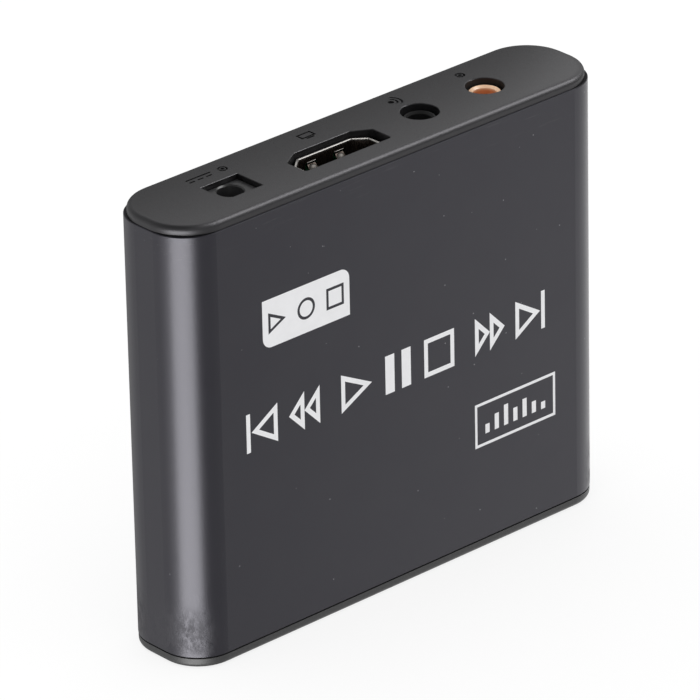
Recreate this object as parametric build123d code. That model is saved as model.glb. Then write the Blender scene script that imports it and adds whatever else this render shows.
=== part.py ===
from build123d import *
import math
import os

# A small media player: an extruded sleeve closed by a plastic cap at each end, round one circuit board.
# Millimetres. X runs along the width, Y from the printed front (-Y) to the back, Z up to the sockets.
# The origin is the middle of the foot.

# Case
case_width = 83.0
case_depth = 16.7
case_height = 70.5
side_flat = 1.95
sleeve_wall = 1.2
sleeve_edge = 0.1
rail_reach = 2.0
rail_thickness = 1.0
socket_cap_rim = 1.4
foot_cap_rim = 1.5
socket_cap_inset = 0.15
socket_cap_extra_radius = 0.7
socket_cap_round = 0.8
socket_cap_seam = 0.08
foot_cap_inset = 0.05
foot_cap_round = 0.8
foot_cap_seam = 0.18
plug_thickness = 1.2
plug_clearance = 0.12
collar_wall = 1.2
rail_gap = 0.2
tongue_end_gap = 7.0
tongue_thickness = 1.2
tongue_length = 3.5
tongue_lead = 0.5
cutout_round = 0.12
icon_depth = 0.25
icon_stroke = 0.32
icon_size = 1.6
icon_from_back = 3.65

# Board
board_front = 1.9
board_thickness = 1.6
board_side_gap = 0.8
board_top_gap = 0.4
board_slot_gap = 0.15
hole_gap = 0.15
post_width = 1.6
post_thickness = 1.2
post_height = 3.0
post_gap = 0.45
post_spread = 44.0
part_gap = 1.2

# Sockets in the upper cap, which all stop short of its face
socket_depth = 0.9
power_depth = 0.85
power_x = -25.3
video_x = -6.05
remote_x = 11.3
av_x = 24.3

# Video socket
video_width = 14.7
video_height = 5.2
video_chamfer_side = 1.75
video_chamfer_top = 2.0
video_corner = 0.5
video_wall = 0.35
video_length = 11.3
video_above_board = 0.75
video_gap_side = 1.0
video_gap_top = 0.3
video_tongue_width = 11.9
video_tongue_thickness = 1.3
video_tongue_shift = 0.35
video_tongue_setback = 1.3
video_block = 2.0
video_pitch = 1.0
video_contact_width = 0.3
video_contact_thickness = 0.12
video_front_count = 9
video_back_count = 10
video_finger_spread = 5.4
video_foot_below_top = 2.2
video_foot_above_rear = 2.0

# Broken edges at the mouths of the socket shells, and the spring fingers cut into their walls
shell_edge = 0.1
finger_width = 1.5
finger_window_gap = 0.4
finger_setback = 1.4
finger_length = 5.6
finger_thickness = 0.25
finger_bulge = 0.5

# Solder feet of the socket shells and of their contacts
foot_width = 2.2
foot_through = 0.7
contact_foot = 1.6

# Power jack
power_width = 6.7
power_height = 5.2
power_length = 11.05
power_gap = 0.16
power_bore = 3.9
power_bore_lead = 0.2
power_bore_depth = 8.65
power_bore_height = 2.2
power_pin = 1.3
power_pin_setback = 1.25
power_pin_seat_gap = 0.03

# Round jacks, 3.5 mm
jack_width = 6.5
jack_height = 5.0
jack_length = 13.0
jack_nozzle = 5.0
jack_nozzle_length = 2.0
jack_bore = 3.6
jack_bore_lead = 0.3
jack_front_wall = 1.4
jack_back_wall = 0.6
jack_side_wall = 0.6
jack_chamber_height = 3.8
jack_hole_gap = 0.4

# Leaf contacts of the jacks
leaf_width = 1.4
leaf_thickness = 0.2
leaf_curl = 0.3
leaf_seat_gap = 0.05
leaf_side_gap = 0.15
leaf_reach = 6.0
leaf_tip = 1.2
leaf_drop = 0.4
leaf_intrusion = 0.3
leaf_start = 1.2

# Terminals under the jacks
tab_width = 1.2
tab_thickness = 0.3
tab_root = 0.5
tab_through = 1.0
power_tab_side = 2.4
power_tab_low = 0.8
power_tab_high = 3.4
jack_tab_side = 2.6
jack_tab_low = 2.0
jack_tab_high = 10.6

# Data port in the foot
data_x = 9.8
data_width = 13.1
data_height = 5.7
data_corner = 0.6
data_wall = 0.3
data_length = 14.0
data_above_board = 0.55
data_setback = 0.5
data_gap = 0.3
data_tongue_width = 11.1
data_tongue_thickness = 1.85
data_tongue_gap = 0.75
data_tongue_setback = 2.0
data_block = 2.4
data_contact_width = 1.0
data_contact_thickness = 0.2
data_contact_setback = 1.2
data_contact_places = (-3.5, -1.0, 1.0, 3.5)
data_finger_spread = 5.0
data_foot_above_cap = 4.0
data_foot_below_rear = 2.5

# Card socket in the foot
card_width = 24.3
card_length = 28.0
card_opening = 2.5
card_floor = 0.5
card_wall = 1.4
card_back_wall = 1.9
card_cover = 0.2
card_slot_gap = 0.15
card_contacts = 9
card_contact_pitch = 2.45
card_contact_width = 1.1
card_contact_thickness = 0.15
card_contact_length = 7.5
card_contact_tail = 1.2

# Slider, spring and cam link of the card socket
slider_width = 3.2
slider_gap = 0.25
slider_length = 12.0
slider_start = 4.8
slider_under = 0.3
slider_top_gap = 0.65
slider_shoulder = 4.2
slider_shoulder_length = 2.0
slider_travel = 3.3
cam_depth = 0.55
cam_gap = 0.125
cam_sway = 1.1
link_wire = 0.5
link_length = 8.5
link_block_length = 3.2
link_pivot_inset = 1.9
link_hole_gap = 0.05
link_pivot_depth = 1.0
link_tip_depth = 0.4
spring_wire = 0.25
spring_diameter = 1.6
spring_turns = 8

# Infrared eye and status light in the foot
eye_width = 6.8
eye_height = 5.0
eye_thickness = 2.6
eye_above_board = 0.5
eye_dome = 1.9
eye_back = 1.1
window_width = 8.4
window_height = 4.2
window_setback = 0.1
window_gap = 0.1
window_flange = 0.7
window_flange_thickness = 0.4
eye_lead = 0.45
eye_lead_pitch = 2.2
eye_lead_rise = 1.4
light_pipe = 2.0
light_pipe_height = 1.65
light_flange = 0.5
light_flange_thickness = 0.5
light_gap = 0.2
light_block = 2.6

# Parts on the board
processor_x = 12.5
processor_size = 14.0
processor_height = 1.2
heat_pad_size = 13.0
heat_pad_thickness = 0.5
heat_sink_size = 16.0
heat_sink_base = 1.4
heat_sink_height = 4.6
heat_sink_fins = 7
heat_sink_fin = 0.8
memory_x = -9.5
memory_size = (22.2, 10.2, 1.0)
flash_size = (5.3, 5.3, 1.7)
regulator_size = (6.5, 3.5, 1.6)
crystal_size = (4.6, 11.2)
crystal_height = 3.5
capacitor_diameter = 5.0
capacitor_lip = 0.2
capacitor_height = 5.4
capacitor_base = 1.2
inductor_size = 5.8
inductor_height = 2.8
passive_size = (2.0, 1.2, 0.9)
passive_count = 5
passive_pitch = 3.2
passive_row_step = 2.6

# Faces and places that follow from the sizes above
inner_width = case_width - 2 * sleeve_wall
inner_depth = case_depth - 2 * sleeve_wall
corner_radius = case_depth / 2 - side_flat
inner_radius = corner_radius - sleeve_wall
sleeve_bottom = foot_cap_rim + foot_cap_seam
sleeve_top = case_height - socket_cap_rim - socket_cap_seam
plug_width = inner_width - 2 * plug_clearance
plug_depth = inner_depth - 2 * plug_clearance
tongue_width = inner_width - 2 * inner_radius - 2 * tongue_end_gap
foot_plug_top = foot_cap_rim + plug_thickness
socket_plug_bottom = case_height - socket_cap_rim - plug_thickness
board_back = board_front + board_thickness
board_width = inner_width - 2 * board_side_gap
board_top = socket_plug_bottom - board_top_gap
socket_face = case_height - socket_depth
power_face = case_height - power_depth
video_y = board_front - video_above_board - video_height / 2
video_rear = socket_face - video_length
power_y = board_front - power_bore_height
power_rear = power_face - power_length
jack_y = board_front - jack_height / 2
jack_front = socket_face - jack_nozzle_length
jack_rear = jack_front - jack_length
data_y = board_front - data_above_board - data_height / 2
data_rear = data_setback + data_length
card_start = foot_plug_top + card_slot_gap
card_end = card_start + card_length
card_under = board_front - card_floor
card_roof = card_under - card_opening
post_x = data_x - data_width / 2 - data_gap - post_gap - post_width / 2
card_right = post_x - post_width / 2 - post_gap - card_cover
slider_right = card_right - card_wall - slider_gap
slider_left = slider_right - slider_width
card_x = slider_left - slider_gap - card_width / 2
slider_x = (slider_left + slider_right) / 2
slider_z = card_start + slider_start
slider_end = slider_z + slider_length
slider_floor = card_under - slider_under
slider_roof = card_roof + slider_top_gap
link_z = card_start + link_pivot_inset
link_y = (slider_roof + card_roof) / 2
spring_end = card_end - card_back_wall
eye_x = data_x + data_width / 2 + data_gap + post_gap + window_flange + window_width / 2
eye_y = board_front - eye_above_board - eye_height / 2
eye_z = foot_plug_top + window_flange_thickness + eye_back + eye_dome / 2
light_x = eye_x + window_width / 2 + window_flange + post_gap + light_flange + light_pipe / 2
light_y = board_front - light_pipe_height

# Places of the parts on the board, as X and Z, each a gap away from the sockets or parts next to it
capacitor_step = capacitor_diameter + 2 * capacitor_lip + part_gap
capacitor_half = capacitor_step / 2 - part_gap / 2
small_row = data_rear + contact_foot + part_gap + passive_size[1] / 2
processor_place = (processor_x, small_row + passive_size[1] / 2 + part_gap + heat_sink_size / 2)
sink_top = processor_place[1] + heat_sink_size / 2
memory_place = (memory_x, card_end + card_contact_tail + part_gap + memory_size[1] / 2)
power_right = power_x + power_width / 2
video_left = video_x - video_width / 2
video_right = video_x + video_width / 2
remote_left = remote_x - jack_width / 2
flash_place = ((video_right + remote_left) / 2, video_rear + part_gap + flash_size[1] / 2)
regulator_z = jack_rear - part_gap - regulator_size[1] / 2
regulator_places = ((remote_x, regulator_z), (remote_x + regulator_size[0] + part_gap, regulator_z))
capacitor_x = regulator_places[1][0] + regulator_size[0] / 2 + part_gap + capacitor_half
left_capacitor_z = power_rear - part_gap - capacitor_half
right_capacitor_z = jack_rear - part_gap - capacitor_half
capacitor_places = ((power_x, left_capacitor_z), (power_x, left_capacitor_z - capacitor_step),
                    (capacitor_x, right_capacitor_z), (capacitor_x, right_capacitor_z - capacitor_step))
eye_top = eye_z + eye_thickness + eye_lead_rise + eye_lead
inductor_places = (((power_right + video_left) / 2, power_rear + part_gap + inductor_size / 2),
                   (eye_x + part_gap, eye_top + part_gap + inductor_size / 2))
crystal_place = (eye_x + 2 * part_gap, inductor_places[1][1] + inductor_size / 2 + part_gap + crystal_size[1] / 2)
small_column = crystal_place[0] + crystal_size[0] / 2 + part_gap + passive_size[0] / 2
half_row = (passive_count - 1) * passive_pitch / 2
small_places = [(data_x - half_row + n * passive_pitch, small_row) for n in range(passive_count)]
small_places += [(processor_x - half_row + n * passive_pitch, sink_top + part_gap / 2 + passive_size[1] / 2)
                 for n in range(passive_count)]
small_places += [(small_column, crystal_place[1] + (n - passive_count / 2) * passive_row_step)
                 for n in range(passive_count)]

assert inner_radius > 0.5, "the sleeve's wall is thicker than its corners allow"
assert board_back + board_slot_gap + rail_thickness < inner_depth / 2, "the board sits too far back"
assert jack_nozzle > jack_bore + 0.6, "the jack's nozzle has no wall left"


def block(x0, x1, y0, y1, z0, z1):
    return Pos((x0 + x1) / 2, (y0 + y1) / 2, (z0 + z1) / 2) * Box(x1 - x0, y1 - y0, z1 - z0)


def prism(sketch, z0, z1):
    return extrude(Pos(0, 0, z0) * sketch, z1 - z0)


def rod_z(x, y, radius, z0, z1):
    return Pos(x, y, (z0 + z1) / 2) * Cylinder(radius, z1 - z0)


def rod_y(x, z, radius, y0, y1):
    return Pos(x, (y0 + y1) / 2, z) * Rot(90, 0, 0) * Cylinder(radius, y1 - y0)


def group(solids):
    return Compound(children=list(solids))


# Board openings are gathered here as the sockets are built, as (x, z, width, length)
board_holes = []


def board_tab(x, z, width, length, root, through):
    board_holes.append((x, z, width + 2 * hole_gap, length + 2 * hole_gap))
    return block(x - width / 2, x + width / 2, root, board_back + through, z - length / 2, z + length / 2)


# Case sleeve: a round-cornered tube with a rail along each side for the board's edges

def case_sleeve():
    outer = RectangleRounded(case_width, case_depth, corner_radius)
    inner = RectangleRounded(inner_width, inner_depth, inner_radius)
    tube = prism(outer - inner, sleeve_bottom, sleeve_top)
    rims = tube.edges().group_by(Axis.Z)
    tube = chamfer(rims[0] + rims[-1], sleeve_edge)
    keep = prism(RectangleRounded(case_width - sleeve_wall, case_depth - sleeve_wall, corner_radius - sleeve_wall / 2),
                 sleeve_bottom + sleeve_edge, sleeve_top - sleeve_edge)
    front_rib = board_front - board_slot_gap - rail_thickness
    back_rib = board_back + board_slot_gap
    for side in (-1, 1):
        near = side * (inner_width / 2 - rail_reach)
        far = side * case_width / 2
        for rib in (front_rib, back_rib):
            rail = block(min(near, far), max(near, far), rib, rib + rail_thickness, sleeve_bottom, sleeve_top)
            tube += rail & keep
    return tube


# End caps: a rounded plate, a plug that locates it in the sleeve and two tongues that grip the sleeve's walls

def cap_plug():
    # The inside of the sleeve, less the rails
    plug = RectangleRounded(plug_width, plug_depth, inner_radius - plug_clearance)
    front = board_front - board_slot_gap - rail_thickness - rail_gap
    back = board_back + board_slot_gap + rail_thickness + rail_gap
    for side in (-1, 1):
        plug -= Pos(side * inner_width / 2, (front + back) / 2) * Rectangle(2 * (rail_reach + rail_gap), back - front)
    return plug


def cap_outline(inset, radius):
    return RectangleRounded(case_width - 2 * inset, case_depth - 2 * inset, radius)


def cap_tongues(root, tip):
    tongues = []
    for side in (-1, 1):
        outer = side * plug_depth / 2
        inner = side * (plug_depth / 2 - tongue_thickness)
        tongue = block(-tongue_width / 2, tongue_width / 2, min(outer, inner), max(outer, inner),
                       min(root, tip), max(root, tip))
        edges = tongue.edges().filter_by(Axis.X)
        lead = edges.filter_by(lambda e: abs(e.center().Z - tip) < 0.01 and abs(e.center().Y - outer) < 0.01)
        tongues.append(chamfer(lead, tongue_lead))
    return tongues


def six_sided(width, height, top, side, corner):
    half = width / 2
    tall = height / 2
    points = [(-half, -tall), (half, -tall), (half, tall - side), (half - top, tall),
              (top - half, tall), (-half, tall - side)]
    sketch = Polygon(*points)
    return fillet(sketch.vertices(), corner)


def stroke(x0, y0, x1, y1, width):
    run = math.hypot(x1 - x0, y1 - y0)
    turn = math.degrees(math.atan2(y1 - y0, x1 - x0))
    return Pos((x0 + x1) / 2, (y0 + y1) / 2) * Rot(0, 0, turn) * SlotCenterToCenter(run, width)


def socket_icons():
    # Plain pictograms: direct current, screen, signal waves and a round plug
    y = case_depth / 2 - icon_from_back
    half = icon_size / 2
    wide = 2.2 * icon_size
    icons = stroke(power_x - wide, y + 0.4, power_x + wide / 4, y + 0.4, icon_stroke)
    for n in range(3):
        start = power_x - wide + n * wide / 2.2
        icons += stroke(start, y - 0.4, start + wide / 4.4, y - 0.4, icon_stroke)
    ring = Circle(half) - Circle(half - icon_stroke)
    icons += Pos(power_x + wide * 0.85, y) * (ring + Circle(icon_stroke))
    screen = Rectangle(icon_size * 1.7, icon_size * 0.95)
    screen -= Rectangle(icon_size * 1.7 - 2 * icon_stroke, icon_size * 0.95 - 2 * icon_stroke)
    icons += Pos(video_x, y + 0.2) * screen
    icons += stroke(video_x - 0.6, y - half, video_x + 0.6, y - half, icon_stroke)
    for n in range(3):
        radius = icon_stroke + n * 2.1 * icon_stroke
        wave = Circle(radius + icon_stroke / 2)
        if n:
            wave -= Circle(radius - icon_stroke / 2)
            wave &= Pos(radius, 0) * Rectangle(2 * radius, 1.7 * radius)
        icons += Pos(remote_x - half, y) * wave
    icons += Pos(av_x, y) * (ring + Circle(icon_stroke))
    return icons


def socket_end_cap():
    outline = cap_outline(socket_cap_inset, corner_radius + socket_cap_extra_radius)
    cap = prism(outline, case_height - socket_cap_rim, case_height)
    cap = fillet(cap.edges().group_by(Axis.Z)[-1], socket_cap_round)
    power_mid = board_front - power_height / 2
    power_hole = Rectangle(power_width + 2 * power_gap, power_height + 2 * power_gap)
    video_hole = six_sided(video_width + 2 * video_gap_side, video_height + 2 * video_gap_top,
                           video_chamfer_top + video_gap_side, video_chamfer_side, video_corner)
    jack_hole = Circle(jack_nozzle / 2 + jack_hole_gap)
    holes = Pos(power_x, power_mid) * power_hole + Pos(video_x, video_y) * video_hole
    holes += Pos(remote_x, jack_y) * jack_hole + Pos(av_x, jack_y) * jack_hole
    cap -= prism(holes, case_height - socket_cap_rim - 1, case_height + 1)
    face = cap.faces().sort_by(Axis.Z)[-1]
    edges = [edge for wire in face.inner_wires() for edge in wire.edges()]
    cap = fillet(edges, cutout_round)
    return cap - prism(socket_icons(), case_height - icon_depth, case_height + 1)


def socket_cap_collar():
    # The wall under the plate that locates it in the sleeve, in two halves that leave the rails free
    ring = cap_plug() - RectangleRounded(plug_width - 2 * collar_wall, plug_depth - 2 * collar_wall,
                                         inner_radius - plug_clearance - collar_wall)
    collar = prism(ring, socket_plug_bottom, case_height - socket_cap_rim)
    for tongue in cap_tongues(socket_plug_bottom, socket_plug_bottom - tongue_length):
        collar += tongue
    return collar


def foot_end_cap():
    cap = prism(cap_outline(foot_cap_inset, corner_radius - foot_cap_inset), 0, foot_cap_rim)
    cap = fillet(cap.edges().group_by(Axis.Z)[0], foot_cap_round)
    cap += prism(cap_plug(), foot_cap_rim, foot_plug_top)
    for tongue in cap_tongues(foot_plug_top, foot_plug_top + tongue_length):
        cap += tongue
    # One post before the board and two behind it stand it upright
    post_front = board_front - board_slot_gap - post_thickness
    post_back = board_back + board_slot_gap
    for x, y in ((post_x, post_front), (-post_spread / 2, post_back), (post_spread / 2, post_back)):
        cap += block(x - post_width / 2, x + post_width / 2, y, y + post_thickness,
                     foot_cap_rim, foot_plug_top + post_height)
    card_mid = (card_under + card_roof) / 2
    holes = Pos(data_x, data_y) * RectangleRounded(data_width + 2 * data_gap, data_height + 2 * data_gap, data_corner)
    holes += Pos(card_x, card_mid) * Rectangle(card_width + 2 * card_slot_gap, card_opening)
    holes += Pos(eye_x, eye_y) * RectangleRounded(window_width + 2 * window_gap, window_height + 2 * window_gap,
                                                  window_flange)
    holes += Pos(light_x, light_y) * Circle(light_pipe / 2 + window_gap)
    return cap - prism(holes, -1, foot_plug_top + 1)


# Shells of the video socket and the data port: a sheet tube with spring fingers and solder feet

def sheet_tube(outer, inner, rear, mouth):
    tube = prism(outer - inner, min(rear, mouth), max(rear, mouth))
    face = tube.faces().sort_by(Axis.Z)[-1 if mouth > rear else 0]
    return chamfer(face.edges(), shell_edge)


def finger(x, wall, inward, root, mouth):
    # A blade from its root to a bump inside the shell, with its tip turned back out
    mid = wall - inward * finger_thickness / 2
    way = 1 if mouth > root else -1
    bump = mouth - way * 1.0
    line = [(mid, root - way * 0.2), (mid, root), (mid + inward * (finger_bulge + finger_thickness), bump), (mid, mouth)]
    other = [(y + inward * finger_thickness, z) for y, z in reversed(line)]
    profile = make_face(Polyline(*[(0, y, z) for y, z in line + other], close=True))
    blade = extrude(profile, finger_width / 2, dir=(1, 0, 0), both=True)
    return Pos(x, 0, 0) * blade


def spring_windows(shell, x_mid, y_mid, height, wall, spread, mouth, way):
    root = mouth - way * (finger_setback + finger_length)
    tip = mouth - way * finger_setback
    for side in (-1, 1):
        outer = y_mid + side * height / 2
        inner = outer - side * wall
        for place in (-1, 1):
            x = x_mid + place * spread / 2
            half = finger_width / 2 + finger_window_gap
            shell -= block(x - half, x + half, min(outer, inner) - 0.1, max(outer, inner) + 0.1,
                           min(root, tip + way * 0.3), max(root, tip + way * 0.3))
            shell += finger(x, inner + side * finger_thickness / 2, -side, root, tip)
    return shell


def shell_feet(x_mid, y_mid, width, wall, places):
    feet = []
    for side in (-1, 1):
        x = x_mid + side * (width / 2 - wall / 2)
        for z in places:
            feet.append(board_tab(x, z, wall, foot_width, y_mid, foot_through))
    return feet


def video_socket():
    outer = six_sided(video_width, video_height, video_chamfer_top, video_chamfer_side, video_corner)
    inner = six_sided(video_width - 2 * video_wall, video_height - 2 * video_wall,
                      video_chamfer_top - video_wall / 3, video_chamfer_side - video_wall / 3,
                      video_corner - video_wall / 2)
    shell = Pos(video_x, video_y, 0) * sheet_tube(outer, inner, video_rear, socket_face)
    shell = spring_windows(shell, video_x, video_y, video_height, video_wall, video_finger_spread, socket_face, 1)
    for foot in shell_feet(video_x, video_y, video_width, video_wall,
                           (board_top - video_foot_below_top, video_rear + video_foot_above_rear)):
        shell += foot
    tongue_y = video_y - video_tongue_shift
    half = video_tongue_thickness / 2
    tip = socket_face - video_tongue_setback
    gap = Pos(video_x, video_y, 0) * prism(inner, video_rear, video_rear + video_block)
    insulator = gap + block(video_x - video_tongue_width / 2, video_x + video_tongue_width / 2, tongue_y - half,
                            tongue_y + half, video_rear, tip)
    contacts = []
    for row, count in ((-1, video_front_count), (1, video_back_count)):
        face = tongue_y + row * half
        out = face + row * video_contact_thickness
        for n in range(count):
            x = video_x + (n - (count - 1) / 2) * video_pitch
            contacts.append(socket_contact(x, video_contact_width, face, out, video_rear, tip - 0.6, 1))
    for contact in contacts:
        insulator -= contact
    return shell, insulator, group(contacts)


def socket_contact(x, width, face, out, rear, tip, way):
    # A strip on the tongue, a leg behind the block and a foot on the board
    left = x - width / 2
    right = x + width / 2
    thick = abs(out - face)
    back = rear - way * 2 * thick
    toe = rear - way * contact_foot
    strip = block(left, right, min(face, out), max(face, out), min(back, tip), max(back, tip))
    leg = block(left, right, min(face, out), board_front, min(back, rear), max(back, rear))
    foot = block(left, right, board_front - thick, board_front, min(toe, rear), max(toe, rear))
    return strip + leg + foot


def data_port():
    outer = RectangleRounded(data_width, data_height, data_corner)
    inner = RectangleRounded(data_width - 2 * data_wall, data_height - 2 * data_wall, data_corner - data_wall)
    shell = Pos(data_x, data_y, 0) * sheet_tube(outer, inner, data_rear, data_setback)
    shell = spring_windows(shell, data_x, data_y, data_height, data_wall, data_finger_spread, data_setback, -1)
    for foot in shell_feet(data_x, data_y, data_width, data_wall,
                           (foot_plug_top + data_foot_above_cap, data_rear - data_foot_below_rear)):
        shell += foot
    front = data_y - data_height / 2 + data_wall + data_tongue_gap
    back = front + data_tongue_thickness
    start = data_setback + data_tongue_setback
    plug = Pos(data_x, data_y, 0) * prism(inner, data_rear - data_block, data_rear)
    insulator = plug + block(data_x - data_tongue_width / 2, data_x + data_tongue_width / 2, front, back,
                             start, data_rear)
    contacts = []
    for place in data_contact_places:
        contacts.append(socket_contact(data_x + place, data_contact_width, back, back + data_contact_thickness,
                                       data_rear, start + data_contact_setback, -1))
    for contact in contacts:
        insulator -= contact
    return shell, insulator, group(contacts)


# Leaf contacts: a curl that rocks in its seat, a blade with a bump and a short tip

def leaf_plane(pivot, along, inward):
    return Plane(origin=pivot, x_dir=along, z_dir=Vector(*along).cross(Vector(*inward)))


def leaf(pivot, along, inward, rise):
    half = leaf_thickness / 2
    over = [(0, half), (leaf_reach, rise + half), (leaf_reach + leaf_tip, rise - leaf_drop + half)]
    under = [(u, v - leaf_thickness) for u, v in reversed(over)]
    profile = Polygon(*reversed(over + under)) + Circle(leaf_curl)
    return extrude(leaf_plane(pivot, along, inward) * profile, leaf_width / 2, both=True)


def leaf_seat(pivot, along, inward):
    return extrude(leaf_plane(pivot, along, inward) * Circle(leaf_curl + leaf_seat_gap),
                   leaf_width / 2 + leaf_side_gap, both=True)


# Power jack: a block with a bore, a centre pin and one leaf that grips the plug's barrel

power_leaf_pivot = (power_x, power_y - power_bore / 2 - leaf_curl - 0.15, power_face - power_bore_depth + 0.6)


def power_jack():
    body = block(power_x - power_width / 2, power_x + power_width / 2, board_front - power_height, board_front,
                 power_rear, power_face)
    bore_end = power_face - power_bore_depth
    body -= rod_z(power_x, power_y, power_bore / 2, bore_end, power_face + 1)
    mouth = body.edges().filter_by(GeomType.CIRCLE).group_by(Axis.Z)[-1]
    body = chamfer(mouth, power_bore_lead)
    body -= rod_z(power_x, power_y, power_pin / 2 + power_pin_seat_gap, power_rear - 1, bore_end + 1)
    pivot = power_leaf_pivot
    half = leaf_width / 2 + leaf_side_gap
    slot_top = pivot[2] + leaf_reach + leaf_tip + 0.5
    body -= block(power_x - half, power_x + half, board_front - power_height - 1, power_y, pivot[2], slot_top)
    body -= leaf_seat(pivot, (0, 0, 1), (0, 1, 0))
    rise = power_y - power_bore / 2 + leaf_intrusion - pivot[1] - leaf_thickness / 2
    blade = leaf(pivot, (0, 0, 1), (0, 1, 0), rise)
    pin = rod_z(power_x, power_y, power_pin / 2, power_rear - 0.4, power_face - power_pin_setback)
    pin = fillet(pin.edges().group_by(Axis.Z)[-1], power_pin / 2 - 0.1)
    root = board_front - tab_root
    tabs = [board_tab(power_x, power_rear + power_tab_low, tab_width, tab_thickness, root, tab_through),
            board_tab(power_x - power_tab_side, power_rear + power_tab_high, tab_thickness, tab_width, root, tab_through),
            board_tab(power_x + power_tab_side, power_rear + power_tab_high, tab_thickness, tab_width, root, tab_through)]
    for tab in tabs:
        body -= tab
    return body, pin, blade, group(tabs)


# Round jacks: a block with a nozzle, a chamber and three leaves for the plug's tip, ring and sleeve

def jack_leaves(x):
    side = jack_width / 2 - jack_side_wall - 0.15
    top = jack_height / 2 - leaf_curl - leaf_seat_gap - 0.1
    front = jack_front - jack_front_wall
    back = jack_rear + jack_back_wall
    grip = jack_bore / 2 - leaf_intrusion + leaf_thickness / 2
    return {
        "tip": ((x - side, jack_y, front - leaf_start), (0, 0, -1), (1, 0, 0), side - grip),
        "ring": ((x + side, jack_y, back + leaf_start), (0, 0, 1), (-1, 0, 0), side - grip),
        "sleeve": ((x, jack_y - top, front - leaf_reach - leaf_tip - leaf_start), (0, 0, 1), (0, 1, 0), top - grip),
    }


def round_jack(x):
    body = block(x - jack_width / 2, x + jack_width / 2, board_front - jack_height, board_front, jack_rear, jack_front)
    body = chamfer(body.edges().group_by(Axis.Y)[0], 0.3)
    body += rod_z(x, jack_y, jack_nozzle / 2, jack_front - 1, socket_face)
    rim = body.edges().filter_by(GeomType.CIRCLE).group_by(Axis.Z)[-1]
    body = chamfer(rim, 0.2)
    chamber = jack_width / 2 - jack_side_wall
    body -= block(x - chamber, x + chamber, jack_y - jack_chamber_height / 2, jack_y + jack_chamber_height / 2,
                  jack_rear + jack_back_wall, jack_front - jack_front_wall)
    body -= rod_z(x, jack_y, jack_bore / 2, jack_front - jack_front_wall - 1, socket_face + 1)
    mouth = body.edges().filter_by(GeomType.CIRCLE).group_by(Axis.Z)[-1].sort_by(SortBy.RADIUS)[0]
    body = chamfer(mouth, jack_bore_lead)
    blades = {}
    for name, (pivot, along, inward, rise) in jack_leaves(x).items():
        body -= leaf_seat(pivot, along, inward)
        blades[name] = leaf(pivot, along, inward, rise)
    pivot = jack_leaves(x)["sleeve"][0]
    half = leaf_width / 2 + leaf_side_gap
    body -= block(x - half, x + half, board_front - jack_height - 1, jack_y, pivot[2],
                  pivot[2] + leaf_reach + leaf_tip + 0.5)
    root = board_front - tab_root
    tabs = []
    for dx in (-jack_tab_side, jack_tab_side):
        for dz in (jack_tab_low, jack_tab_high):
            tabs.append(board_tab(x + dx, jack_rear + dz, tab_thickness, tab_width, root, tab_through))
    for tab in tabs:
        body -= tab
    return body, blades, group(tabs)


# Card socket: a moulded base, a sheet cover, nine contacts, and the slider with its spring and cam link

def card_socket():
    left = card_x - card_width / 2 - card_wall
    right = card_right
    base = block(left, right, card_under, board_front, card_start, card_end)
    base += block(left, left + card_wall, card_roof, card_under, card_start, card_end)
    base += block(right - card_wall, right, card_roof, card_under, card_start, card_end)
    base += block(left, right, card_roof, card_under, spring_end, card_end)
    base += block(slider_left, right, slider_roof, card_under, card_start, card_start + link_block_length)
    base -= rod_y(slider_x, link_z, link_wire / 2 + link_hole_gap, slider_roof - 1, slider_roof + link_pivot_depth + 0.2)
    contacts = []
    for n in range(card_contacts):
        x = card_x + (n - (card_contacts - 1) / 2) * card_contact_pitch
        contacts.append(block(x - card_contact_width / 2, x + card_contact_width / 2,
                              card_under - card_contact_thickness, card_under,
                              spring_end - card_contact_length, card_end + card_contact_tail))
    for contact in contacts:
        base -= contact
    cover = block(left - card_cover, right + card_cover, card_roof - card_cover, card_roof, card_start, card_end)
    for x in (left - card_cover, right):
        cover += block(x, x + card_cover, card_roof, card_under, card_start + 1, card_end - 1)
    return base, cover, group(contacts)


def cam_track():
    # The pin runs down the left leg as the card goes in, rests in the notch and returns by the right leg
    width = link_wire + 2 * cam_gap
    notch = slider_travel - 0.6
    points = [(0, 0.2), (-cam_sway, -slider_travel), (0, -notch), (cam_sway, -slider_travel), (0, 0.2)]
    track = Circle(width / 2)
    for (x0, z0), (x1, z1) in zip(points, points[1:]):
        track += stroke(x0, z0, x1, z1, width)
    return track


def card_slider():
    arm = block(slider_left, slider_right, slider_roof, slider_floor, slider_z, slider_end)
    arm += block(slider_left - slider_shoulder, slider_left, slider_roof, slider_floor,
                 slider_end - slider_shoulder_length, slider_end)
    top = Plane(origin=(slider_x, slider_roof, link_z + link_length), x_dir=(1, 0, 0), z_dir=(0, -1, 0))
    return arm - extrude(top * cam_track(), cam_depth, dir=(0, 1, 0))


def card_link():
    tip_z = link_z + link_length
    wire = rod_z(slider_x, link_y, link_wire / 2, link_z, tip_z)
    wire += rod_y(slider_x, link_z, link_wire / 2, link_y, slider_roof + link_pivot_depth)
    wire += rod_y(slider_x, tip_z, link_wire / 2, link_y, slider_roof + link_tip_depth)
    for z in (link_z, tip_z):
        wire += Pos(slider_x, link_y, z) * Sphere(link_wire / 2)
    return wire


def card_spring():
    y = (slider_floor + slider_roof) / 2
    low = slider_end + spring_wire
    high = spring_end - spring_wire
    path = Helix(pitch=(high - low) / spring_turns, height=high - low, radius=spring_diameter / 2)
    section = Plane(origin=path @ 0, z_dir=path % 0) * Circle(spring_wire / 2)
    coil = sweep(section, path=path, is_frenet=True)
    return Pos(slider_x, y, low) * coil


# Infrared eye, its window, and the status light with its pipe

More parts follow.
